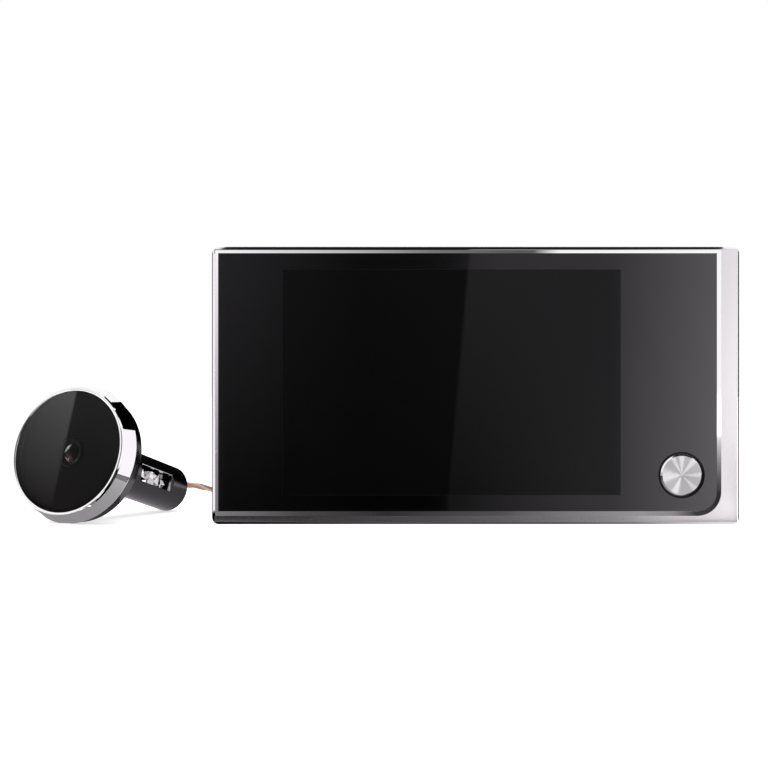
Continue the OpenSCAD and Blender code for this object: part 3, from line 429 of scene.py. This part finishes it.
# Bright rays of the button: angle of the middle and half angle
BUTTON_RAYS = [(90, 14), (50, 15), (-45, 13), (-112, 17), (180, 34), (117, 11), (0, 13)]
# How far the button's rings lean off and on a ray, and which way
BUTTON_LEAN = (-0.06, 0.04)
BUTTON_LEAN_WAY = (0.7, 0, 0.7)


def spun_metal():
    """Aluminium turned on a lathe: fine rings that lean from ray to ray, inside a polished bevel."""
    paint = Paint("spun_aluminium", Metallic=1.0, Anisotropic=0.5, Anisotropic_Rotation=0.25)
    tangent = paint.add("ShaderNodeTangent", direction_type="RADIAL", axis="Y")
    away = paint.vector("MULTIPLY", paint.vector("SUBTRACT", paint.point, BUTTON_AT * MM), (1, 0, 1))
    radius = paint.vector("LENGTH", away)
    outward = paint.vector("NORMALIZE", away)
    rings = paint.rings(radius, 9000.0, 3.0)
    flat = paint.ramp(radius, BUTTON_FLAT_R, BUTTON_FLAT_R - 0.1)
    fan = None
    for angle, half_width in BUTTON_RAYS:
        turn, reach = math.radians(angle), math.cos(math.radians(half_width))
        ray = paint.span(paint.vector("DOT_PRODUCT", outward, (math.cos(turn), 0, math.sin(turn))),
                         reach, 1.0, kind="SMOOTHSTEP")
        fan = ray if fan is None else paint.either(fan, ray)
    lean = paint.both(flat, paint.span(fan, 0.0, 1.0, *BUTTON_LEAN))
    lean = paint.add("ShaderNodeVectorMath", {0: BUTTON_LEAN_WAY, "Scale": lean},
                     operation="SCALE").outputs[0]
    bump = paint.add("ShaderNodeBump", {"Height": paint.both(rings, flat), "Distance": 0.004 * MM})
    paint.tone(Base_Color=paint.mix(rings, rgb(0.78, 0.775, 0.785), rgb(0.93, 0.925, 0.935)),
               Roughness=paint.span(flat, 0.0, 1.0, 0.06, 0.22), Tangent=tangent.outputs[0],
               Normal=paint.vector("NORMALIZE", paint.vector("ADD", bump.outputs[0], lean)))
    return paint


def window_glass():
    """Clear, faintly tinted disc in front of the lens."""
    paint = Paint("window_glass", Transmission_Weight=1.0, IOR=1.5)
    dust = paint.noise(2500.0, 4.0)
    paint.tone(Base_Color=paint.mix(dust, rgb(0.70, 0.70, 0.72), rgb(0.74, 0.74, 0.76)),
               Roughness=paint.span(dust, 0.3, 0.8, 0.01, 0.02))
    return paint


def lens_glass():
    """Coated optical glass."""
    paint = Paint("lens_glass", Coat_Weight=1.0, Coat_Roughness=0.15, Coat_IOR=2.2)
    haze = paint.noise(1500.0, 2.0)
    paint.tone(Base_Color=paint.mix(haze, rgb(0.02, 0.035, 0.03), rgb(0.035, 0.03, 0.025)),
               Roughness=paint.span(haze, *NOISE, 0.04, 0.09))
    return paint


def black_nickel():
    """Dark bright plate, left bare on the milled walls of the slot."""
    near, far = SLOT[0] - 1.2, SLOT[1] + 1.2
    fade = 0.2
    paint = Paint("black_nickel", Metallic=1.0)
    back, radius = paint.along_barrel()
    wall = paint.both(paint.ramp(radius, BARREL_R - 0.03, BARREL_R - 0.06),
                      paint.ramp(radius, BORE_R + 0.15, BORE_R + 0.2))
    bare = paint.both(wall, paint.both(paint.ramp(back, near, near + fade),
                                       paint.ramp(back, far, far - fade)))
    turned = paint.rings(back, 7000.0, 2.0)
    plate = paint.mix(turned, rgb(0.050, 0.048, 0.052), rgb(0.060, 0.057, 0.062))
    paint.tone(Base_Color=paint.mix(bare, plate, rgb(0.85, 0.85, 0.86)),
               Roughness=paint.span(paint.noise(2600.0), *NOISE, 0.09, 0.14))
    paint.relief(turned, 0.0012)
    return paint


def board():
    """Mottled green solder mask over copper tracks."""
    paint = Paint("board_green", Coat_Weight=0.4, Coat_Roughness=0.2)
    upright = paint.add("ShaderNodeMapping", {"Vector": paint.point, "Rotation": (math.pi / 2, 0, 0)})
    tracks = paint.add("ShaderNodeTexBrick", {
        "Vector": upright.outputs[0], "Scale": 260.0, "Mortar Size": 0.012, "Color1": rgb(0.02, 0.13, 0.05),
        "Color2": rgb(0.03, 0.17, 0.07), "Mortar": rgb(0.06, 0.26, 0.11)})
    mottle = paint.both(paint.noise(900.0), 0.4)
    paint.tone(Base_Color=paint.mix(mottle, tracks.outputs[0], rgb(0.015, 0.09, 0.04)),
               Roughness=paint.span(paint.noise(2500.0), *NOISE, 0.35, 0.5))
    return paint


def cell_wrap():
    """Plain dark shrink wrap with a pale band, rolled over the ends of a steel can."""
    wrap_end = 20.6
    band_start, band_end = 9, 11
    fade = 0.15
    paint = Paint("cell_wrap")
    x, _, _ = paint.axes()
    middle = sum(BAY_X) / 2
    reach = paint.math("ABSOLUTE", paint.math("SUBTRACT", x, middle * MM))
    bare = paint.ramp(reach, wrap_end, wrap_end + 0.2)
    band = paint.both(paint.ramp(x, middle + band_start, middle + band_start + fade),
                      paint.ramp(x, middle + band_end, middle + band_end - fade))
    grains = paint.noise(2200.0)
    wrap = paint.mix(grains, rgb(0.075, 0.085, 0.105), rgb(0.105, 0.115, 0.14))
    wrap = paint.mix(band, wrap, rgb(0.55, 0.56, 0.58))
    paint.tone(Base_Color=paint.mix(bare, wrap, rgb(0.66, 0.66, 0.64)), Metallic=bare,
               Roughness=paint.span(grains, *NOISE, 0.26, 0.36))
    return paint


FINISHES = {
    "satin_silver": frame_metal(),
    "chrome": surface("chrome", (0.93, 0.932, 0.935), rough=0.03, metal=1.0, shade=0.015, spread=0.015,
                      grain=4000.0),
    "black_glass": printed_glass(),
    "window_glass": window_glass(),
    "lens_glass": lens_glass(),
    "display": surface("display", (0.012, 0.012, 0.014), rough=0.2, shade=0.1),
    "backlight_white": surface("backlight_white", (0.85, 0.85, 0.83), rough=0.6, shade=0.04),
    "black_tape": surface("black_tape", (0.03, 0.03, 0.03), rough=0.85, shade=0.2, spread=0.08, grain=6000.0,
                          depth=0.02),
    "sheet_steel": surface("sheet_steel", (0.62, 0.62, 0.60), rough=0.32, metal=1.0, shade=0.06, spread=0.08,
                           grain=2500.0, depth=0.003, stretch=(1, 20, 20)),
    "contact_metal": surface("contact_metal", (0.72, 0.70, 0.64), rough=0.22, metal=1.0, shade=0.06,
                             spread=0.07, depth=0.002),
    "screw_steel": surface("screw_steel", (0.42, 0.42, 0.43), rough=0.28, metal=1.0, shade=0.1, spread=0.08,
                           grain=5000.0, depth=0.004),
    "flex_film": surface("flex_film", (0.60, 0.33, 0.08), rough=0.3, shade=0.12, spread=0.06, grain=1500.0),
    "board_green": board(),
    "chip_black": surface("chip_black", (0.028, 0.028, 0.03), rough=0.55, shade=0.12, spread=0.06,
                          grain=9000.0, depth=0.006),
    "component_dark": surface("component_dark", (0.06, 0.07, 0.10), rough=0.35, shade=0.1),
    "connector_white": surface("connector_white", (0.80, 0.77, 0.68), rough=0.45, shade=0.04),
    "black_abs": surface("black_abs", (0.022, 0.022, 0.024), rough=0.46, shade=0.15, spread=0.06,
                         grain=8000.0, depth=0.014),
    "spun_aluminium": spun_metal(),
    "cell_wrap": cell_wrap(),
    "black_nickel": black_nickel(),
    "foil": surface("foil", (0.88, 0.87, 0.88), rough=0.14, metal=1.0, shade=0.05, grain=900.0, depth=0.02),
    "black_rubber": surface("black_rubber", (0.028, 0.028, 0.028), rough=0.62, shade=0.15, spread=0.08,
                            grain=5000.0, depth=0.01),
    "plug_white": surface("plug_white", (0.78, 0.75, 0.68), rough=0.42, shade=0.04, grain=5000.0,
                          depth=0.004),
}
# Nodes seen through the camera's window, which take no relief
OWN_FINISHES = {
    "lens_barrel": surface("matt_barrel", (0.010, 0.010, 0.011), rough=0.5, shade=0.1, spread=0.03),
    "lens_shroud": surface("matt_black", (0.022, 0.022, 0.024), rough=0.55, shade=0.15, spread=0.06,
                           grain=8000.0),
}
WIRE_TONES = [(0.42, 0.245, 0.15), (0.55, 0.36, 0.25), (0.30, 0.165, 0.105), (0.61, 0.44, 0.335)]
WIRES = [surface("wire_%d" % (i + 1), tone, rough=0.42, shade=0.10, spread=0.06, grain=2500.0, depth=0.006)
         for i, tone in enumerate(WIRE_TONES)]


# Pieces that stand for solids which need a finer form

def lead():
    """Four fine wires laid round each other."""
    straight = [LEAD_START] + [LEAD_START + s * CAMERA_AXIS for s in LEAD_STRAIGHT]
    route = straight + [Vector(p) for p in LEAD_LAY] + [LEAD_END - Vector((0, 0, LEAD_RISE)), LEAD_END]
    path = smooth_path(route, steps=8)
    wire_r = WIRE_PART * LEAD_D
    offset = LEAD_D / 2 - wire_r - WIRE_SLACK
    lay = [0.0]
    for a, b in zip(path, path[1:]):
        lay.append(lay[-1] + (b - a).length / WIRE_PITCH * 2 * math.pi)
    wires = []
    for k in range(len(WIRES)):
        strand = []
        for point, (side, up), turn in zip(path, carried(path, (0, 0, 1)), lay):
            angle = turn + 2 * math.pi * k / len(WIRES)
            strand.append(point + offset * (math.cos(angle) * side + math.sin(angle) * up))
        wires.append(tube(strand, wire_r, sides=12))
    bundle = piece("lead_wires", joined(wires), [w.material for w in WIRES])
    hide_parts("camera_cable")


def crumpled_foil():
    """Foil pinched round the wires in flat folds with sharp creases."""
    rows, sides = FOIL_ROWS, FOIL_SIDES
    points = []
    for i in range(rows):
        inner = 0 < i < rows - 1
        for k in range(sides):
            angle = 2 * math.pi * k / sides
            at = Vector((math.cos(angle), math.sin(angle), FOIL_ROW_STEP * i)) * FOIL_NOISE
            turn, along, out = (reach * noise.noise(at + Vector(seed))
                                for seed, reach in zip(FOIL_SEEDS, FOIL_REACH))
            a = 2 * math.pi * (k + 0.5 * (i % 2) + turn * inner) / sides
            s = FOIL[0] + (FOIL[1] - FOIL[0]) * (i + along * inner) / (rows - 1)
            r = min(FOIL_R - FOIL_SINK + out, FOIL_R)
            points.append(CAMERA_POSE @ Vector((r * math.cos(a), r * math.sin(a), s)))
    faces = []
    for i in range(rows - 1):
        for k in range(sides):
            a, b = i * sides + k, i * sides + (k + 1) % sides
            c, d = a + sides, b + sides
            faces += [(a, b, d), (a, d, c)] if i % 2 else [(a, b, c), (b, d, c)]
    faces += end_caps(len(points), sides)
    foil = piece("foil_wrap", (points, faces, [0] * len(faces)), [FINISHES["foil"].material],
                 crease=FOIL_CREASE)
    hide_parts("cable_shield")


def battery_springs():
    """Conical springs between the cells and their plates."""
    steps = 150
    first = SPRING_START + SPRING_WIRE / 2 + SPRING_ROOM
    travel = SPRING_LENGTH - SPRING_WIRE - 2 * SPRING_ROOM
    coils = []
    for k, z in enumerate(CELL_Z):
        way = 1 if k % 2 == 0 else -1
        base = Vector((BAY_X[k % 2], CELL_Y, z))
        path = []
        for i in range(steps + 1):
            t = i / steps
            r = SPRING_R[0] + (SPRING_R[1] - SPRING_R[0]) * t
            a = 2 * math.pi * SPRING_TURNS * t
            path.append(base + Vector((way * (first + travel * t), way * r * math.cos(a), r * math.sin(a))))
        coils.append(tube(path, SPRING_WIRE / 2, sides=14, start=(1, 0, 0)))
    points, faces, _ = joined(coils)
    wires = piece("coil_springs", (points, faces, [0] * len(faces)),
                  [FINISHES["contact_metal"].material])
    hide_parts("battery_springs")


def camera_ring():
    """Chrome ring and band of the camera's head, with rounded edges."""
    ring = piece("head_ring", lathe(rounded(RING, RING_ROUND), CAMERA_POSE),
                 [FINISHES["chrome"].material])
    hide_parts("camera_bezel")


lead()
crumpled_foil()
battery_springs()
camera_ring()

# Every solid that stays takes its slot's finish

SLOTS = {part["node"]: part["material_slot"] for part in frame["record"]["subparts"]}
for name, obj in frame["nodes"].items():
    finish = OWN_FINISHES.get(name) or FINISHES.get(SLOTS[name], WIRES[0])
    for holder in obj.material_slots:
        holder.material = finish.material

# The studio

# The white world's strength as a light, and where it is seen
SKY = (0.55, 1.0)
# Half width of the table, the levels it is filled up to near and far off, and the distances for those
TABLE_REACH = 4000
TABLE_FILL = (0.62, 1.0)
TABLE_FADE = (200, 550)
# Height of the cards over the object, and the planes of those before, behind and left of it
CEILING = 420
FOREGROUND = -450
BACKDROP = 250
LEFT_SIDE = -470
# Plane of the cards beside the camera's head
HEAD_SIDE = -84.5
# Heights of the cards on the table, which lie over each other
LIFT_FLOOR = 0.03
LIFT_GREY = 0.15
LIFT_LEFT = 0.2
LIFT_LENS = 0.25
# The bright edge across the glass: where it starts and ends at the foot, and its lean
SEAM = (-8.0, -7.1)
SEAM_LEAN = 0.0871
# Card in the camera's window: its middle, its two directions, its half width and the lean of its edge
WINDOW_CARD_AT = Vector((-439.677, -166.807, 162.614))
WINDOW_ACROSS = Vector((-0.43334, 0.90123, 0.0))
WINDOW_UP = Vector((0.32486, 0.15620, 0.93278))
WINDOW_HALF = 42
WINDOW_LEAN = 0.107
# Place behind the camera's front that the lens's glints are seen from
LENS_BACK = 2
# Each glint in the lens: the way to it, its colour, its half angle and its level
LENS_GLINTS = [((-0.827, 0.219, 0.515), (0.72, 1.0, 0.83), 22, 4.4),
               ((-0.91, -0.36, -0.19), (1.0, 0.32, 0.28), 34, 0.5),
               ((-0.91, -0.36, -0.19), (1.0, 0.93, 0.9), 6, 7.0)]


def seen_rays(tree):
    """1 for rays from the view, from gloss or through glass, which see the white set, and 0 for light."""
    path = tree.nodes.new("ShaderNodeLightPath")
    seen = path.outputs["Is Camera Ray"]
    for ray in ("Is Glossy Ray", "Is Transmission Ray"):
        larger = tree.nodes.new("ShaderNodeMath")
        larger.operation = "MAXIMUM"
        tree.links.new(seen, larger.inputs[0])
        tree.links.new(path.outputs[ray], larger.inputs[1])
        seen = larger.outputs[0]
    return seen


def white_world():
    world = bpy.data.worlds.new("studio")
    world.use_nodes = True
    scene.world = world
    tree = world.node_tree
    strength = tree.nodes.new("ShaderNodeMapRange")
    strength.inputs[3].default_value, strength.inputs[4].default_value = SKY
    tree.links.new(seen_rays(tree), strength.inputs[0])
    sky = tree.nodes["Background"]
    sky.inputs[0].default_value = rgb(1, 1, 1)
    tree.links.new(strength.outputs[0], sky.inputs[1])


def level_at(z, corners):
    """Corners in a level plane."""
    return [(x, y, z) for x, y in corners]


def box_of(low, high):
    """The four corners of a rectangle between two corners."""
    return [low, (high[0], low[1]), high, (low[0], high[1])]


def upright_at(y, corners):
    """Corners in a plane that faces the view."""
    return [(x, y, z) for x, z in corners]


def sideways_at(x, corners):
    """Corners in a plane that faces to the side."""
    return [(x, y, z) for y, z in corners]


def stage_sheet(name, corners, paint):
    """A flat stage piece through corners in millimetres."""
    mesh = bpy.data.meshes.new(name)
    mesh.from_pydata([Vector(c) * MM for c in corners], [], [tuple(range(len(corners)))])
    mesh.materials.append(paint.material)
    obj = bpy.data.objects.new(name, mesh)
    scene.collection.objects.link(obj)
    return obj


def card(name, corners, paint):
    """A card that only gloss and glass see, to shape what they reflect."""
    obj = stage_sheet(name, corners, paint)
    obj.visible_camera = False
    obj.visible_diffuse = False
    obj.visible_shadow = False
    obj.visible_volume_scatter = False
    paint.material.cycles.emission_sampling = "NONE"
    return obj


def glow(name):
    """Paint of a card that only shines."""
    return Paint(name, Base_Color=rgb(0, 0, 0), Roughness=1.0, Specular_IOR_Level=0.0,
                 Emission_Color=rgb(1, 0.965, 1), Emission_Strength=0.0)


def floor():
    """White table top that keeps the shadows and is filled up to white where it is seen."""
    paint = Paint("table", Roughness=0.9, Specular_IOR_Level=0.0)
    grains = paint.noise(900.0)
    seen = seen_rays(paint.tree)
    near, far = TABLE_FADE
    fill = paint.span(paint.vector("LENGTH", paint.point), near * MM, far * MM, *TABLE_FILL, "SMOOTHSTEP")
    paint.tone(Base_Color=paint.mix(grains, rgb(0.80, 0.80, 0.80), rgb(0.84, 0.84, 0.84)),
               Emission_Color=rgb(1, 1, 1), Emission_Strength=paint.both(seen, fill))
    reach = TABLE_REACH
    stage_sheet("floor", level_at(0, box_of((-reach, -reach), (reach, reach))), paint)


def glass_level(paint):
    """Place across the glass that shows a point of a card in front of it, and the level it shows there."""
    x, y, z = paint.axes()
    reach = GLASS_FRONT - EYE.y
    scale = paint.math("DIVIDE", reach * MM, paint.math("SUBTRACT", (GLASS_FRONT + reach) * MM, y))
    across, up = (paint.math("ADD", paint.both(paint.math("SUBTRACT", place, eye * MM), scale), eye * MM)
                  for place, eye in ((x, EYE.x), (z, EYE.z)))
    left = paint.both(paint.ramp(across, -63, -29, 0.155, 0.03), paint.ramp(up, 68, 8, 1.0, 0.2))
    right = paint.profile(across, [(-10, 0.21), (34, 0.205), (61, 0.61), (66, 1.0)])
    right = paint.both(right, paint.ramp(up, 68, 14, 1.27, 1.5))
    foot = paint.both(paint.ramp(across, -3, 31, 0.24, 0.0), paint.ramp(up, 62, 8))
    right = paint.math("SUBTRACT", right, foot)
    band = paint.ramp(up, 68, 14, 0.79, 1.14)
    right = paint.both(right, paint.blend(paint.ramp(across, 61.5, 63), 1.0, band))
    lean = paint.math("SUBTRACT", across, paint.both(up, SEAM_LEAN))
    return across, paint.blend(paint.ramp(lean, *SEAM), left, right)


def front_card():
    """Dark on the left and bright on the right, with a leaning edge between them that shows in the glass."""
    paint = glow("front_card")
    paint.tone(Emission_Strength=glass_level(paint)[1])
    card("front_card", upright_at(FOREGROUND, box_of((-600, 0), (600, 480))), paint)


def floor_card():
    """Carries the front card's levels on under the glass, and darkens towards the monitor's foot as painted
    shade of the table there.
    """
    paint = glow("floor_card")
    x, y, _ = paint.axes()
    across, level = glass_level(paint)
    # From here on the levels near the monitor's foot are lowered as painted shade of the table, seen in the
    # frame's lower edges
    band = paint.profile(x, [(-65, 0.0), (-22, 0.085), (6, 0.095), (22, 0.12), (40, 0.23), (60, 0.78),
                             (75, 0.95)])
    level = paint.blend(paint.ramp(y, -48, -36), level, band)
    corner = paint.vector("LENGTH", paint.vector("SUBTRACT", paint.point, Vector((60, -8, 0)) * MM))
    side = paint.profile(corner, [(10, 0.03), (110, 0.03), (210, 0.12), (350, 0.3), (600, 0.68), (800, 1.0)])
    level = paint.blend(paint.ramp(across, 65.5, 67.5), level, side)
    trim = paint.profile(x, [(-65, 0.2), (-45, 0.07), (-22, 0.03), (6, 0.085), (42, 0.32), (50, 0.28),
                             (56, 0.05), (75, 0.03)])
    level = paint.blend(paint.ramp(y, -17.5, -16), level, trim)
    level = paint.blend(paint.ramp(y, -9, -8.6), level, band)
    paint.tone(Emission_Strength=level)
    card("floor_card", level_at(LIFT_FLOOR, box_of((-70, -455), (650, -6.66))), paint)
    card("floor_card_left", level_at(LIFT_FLOOR, [(-300, -455), (-70, -455), (-70, -16.5), (-96, -16.5),
                                                  (-96, -45), (-300, -118)]), paint)


def ceiling_card():
    """Runs from white to dark along the trim over the glass, and back to white on the right."""
    paint = glow("ceiling_card")
    x, _, _ = paint.axes()
    paint.tone(Emission_Strength=paint.profile(x, [(-103, 1.0), (-60, 0.66), (0, 0.2), (36, 0.11),
                                                   (50, 0.11), (62, 1.0)]))
    card("ceiling_card", level_at(CEILING, box_of((-103, -220), (62, -80))), paint)


def left_cards():
    """Grey the trim beside the glass towards its foot."""
    paint = glow("left_card")
    _, _, z = paint.axes()
    paint.tone(Emission_Strength=paint.ramp(z, 0, 104, 0.3, 1.0))
    card("left_card", sideways_at(LEFT_SIDE, box_of((-230, LIFT_LEFT), (-90, 112))), paint)
    start = -95
    paint = glow("left_floor_card")
    x, _, _ = paint.axes()
    paint.tone(Emission_Strength=paint.ramp(x, start, LEFT_SIDE, 0.21, 0.3))
    card("left_floor_card", level_at(LIFT_GREY, [(start, -26), (LEFT_SIDE, -230), (LEFT_SIDE, -110),
                                                 (start, -16)]), paint)


def edge_cards():
    """White for the edge beside the trim and black for the outermost edges, all clear from one side."""
    low, high = 0.05, 72
    paint = glow("edge_card")
    x, y, z = paint.axes()
    white = paint.both(paint.ramp(z, 2.6, 3.4), paint.ramp(y, -4.9, -5.0))
    paint.tone(Emission_Strength=paint.both(white, paint.ramp(x, 0, -1)),
               Alpha=paint.add("ShaderNodeNewGeometry").outputs["Backfacing"])
    for name, start, end in (("edge_card", (-70, -8.2), (-70, -5)),
                             ("edge_flag_left", (-71.6, -3.6), (-69.4, -1.6)),
                             ("edge_flag_right", (68.7, -1.1), (71.2, -3.0)),
                             ("edge_flag", (70, -3.6), (70, -6.52))):
        card(name, [(*start, low), (*start, high), (*end, high), (*end, low)], paint)
    paint = glow("rim_card")
    paint.tone(Emission_Strength=paint.waver(1.0, 1.05))
    card("rim_card", upright_at(-30, box_of((-68.75, 1.7), (-67.93, 70))), paint)


def lens_cards():
    """Dark cards seen only through the camera's window, with green, red and white glints for its lens."""
    paint = glow("lens_card")
    lens_at = CAMERA_FRONT + LENS_BACK * CAMERA_AXIS
    away = paint.vector("NORMALIZE", paint.vector("SUBTRACT", paint.point, lens_at * MM))
    color, strength = rgb(1, 1, 1), None
    for way, tone, reach, level in LENS_GLINTS:
        spot = paint.span(paint.vector("DOT_PRODUCT", away, Vector(way).normalized()),
                          math.cos(math.radians(reach)), 1.0, kind="SMOOTHSTEP")
        color = paint.mix(spot, color, rgb(*tone))
        spot = paint.both(spot, level)
        strength = spot if strength is None else paint.either(strength, spot)
    paint.tone(Emission_Color=color, Emission_Strength=strength)
    ahead = level_at(-150, box_of((-800, -800), (800, 800)))
    front = card("lens_card", [CAMERA_POSE @ Vector(corner) for corner in ahead], paint)
    below = card("lens_floor_card", level_at(LIFT_LENS, box_of((-420, -320), (60, -18))), paint)
    front.visible_glossy = False
    below.visible_glossy = False


def window_card():
    """Gives the camera's window a pale left side with a straight edge."""
    paint = glow("window_card")
    place = paint.vector("SUBTRACT", paint.point, WINDOW_CARD_AT * MM)
    across = paint.vector("DOT_PRODUCT", place, WINDOW_ACROSS)
    up = paint.vector("DOT_PRODUCT", place, WINDOW_UP)
    lean = paint.math("SUBTRACT", across, paint.both(up, WINDOW_LEAN))
    pale = paint.both(paint.ramp(up, -30, 32, 0.06, 1.6), paint.ramp(lean, 2, 36, 1.1, 0.8))
    dark = paint.ramp(up, -30, 32, 0.06, 0.32)
    paint.tone(Emission_Strength=paint.blend(paint.ramp(lean, 1.1, 2.2), dark, pale))
    half = WINDOW_HALF
    card("window_card", [WINDOW_CARD_AT + a * WINDOW_ACROSS + b * WINDOW_UP
                         for a, b in box_of((-half, -half), (half, half))], paint)


def flags():
    """Black flags over, behind and beside the object, for the dark lines and streaks in polished metal."""
    black = glow("flag")
    black.tone(Emission_Strength=black.waver(0.005, 0.015))
    card("flag_over", level_at(CEILING, box_of((-100, -60), (137, 120))), black)
    card("flag_high", upright_at(BACKDROP, box_of((-99, 270), (138, 370))), black)
    card("flag_back", upright_at(BACKDROP, [(-115, 20), (220, 20), (220, 150), (-30, 150), (-115, 90)]),
         black)
    card("flag_button", level_at(CEILING, box_of((135, -75), (420, 10))), black)
    # Beside the head: black towards the camera, and white near the front towards the monitor
    black = glow("flag_head")
    _, y, _ = black.axes()
    from_monitor = black.math("SUBTRACT", 1.0, black.add("ShaderNodeNewGeometry").outputs["Backfacing"])
    black.tone(Emission_Strength=black.both(from_monitor, black.ramp(y, 5, 1)))
    card("flag_head", sideways_at(HEAD_SIDE, [(-14, 30), (-8.66, 26.3), (-6.2, 24.5), (-4, 23), (24, 38.5),
                                              (5, 54.5), (-14, 54)]), black)


def head_cards():
    """White beside the camera's band, and grey painted shade on the table below the head and the barrel."""
    white = glow("head_card")
    white.tone(Emission_Strength=white.waver(1.0, 1.05))
    card("head_card", sideways_at(HEAD_SIDE, [(-14, 10.95), (-7.2, 10.95), (-7.2, 20), (-6.2, 24.5),
                                              (-8.66, 26.3), (-14, 30)]), white)
    # Painted shade: grey cards that stand in for the table's shadow below the head and the barrel, seen in
    # their metal
    grey = glow("head_shadow_card")
    x, _, _ = grey.axes()
    grey.tone(Emission_Strength=grey.profile(x, [(-115, 0.36), (-107, 0.29), (-98, 0.29), (-86, 0.35),
                                                 (-70, 0.44)]))
    card("head_shadow_card", level_at(LIFT_GREY, [(-118, -16), (-70, -16), (-70, -5), (-118, 4)]), grey)
    grey = glow("barrel_shadow_card")
    _, y, _ = grey.axes()
    grey.tone(Emission_Strength=grey.ramp(y, 8, 40, 0.72, 0.6))
    card("barrel_shadow_card", level_at(LIFT_GREY, box_of((-110, 8), (-45, 70))), grey)


def lamp(name, place, target, size, power):
    """A round lamp that lights the object and isn't seen in gloss or through glass."""
    data = bpy.data.lights.new(name, "AREA")
    data.shape = "DISK"
    data.size = size * MM
    data.energy = power
    obj = bpy.data.objects.new(name, data)
    obj.location = Vector(place) * MM
    obj.rotation_euler = (Vector(target) - Vector(place)).to_track_quat("-Z", "Y").to_euler()
    obj.visible_glossy = False
    obj.visible_transmission = False
    scene.collection.objects.link(obj)


white_world()
floor()
front_card()
floor_card()
ceiling_card()
left_cards()
edge_cards()
lens_cards()
window_card()
flags()
head_cards()
lamp("lamp_over", place=(-60, -150, 900), target=(-30, 0, 20), size=900, power=9.0)
lamp("lamp_left", place=(-800, -500, 500), target=(-60, 0, 20), size=700, power=5.0)
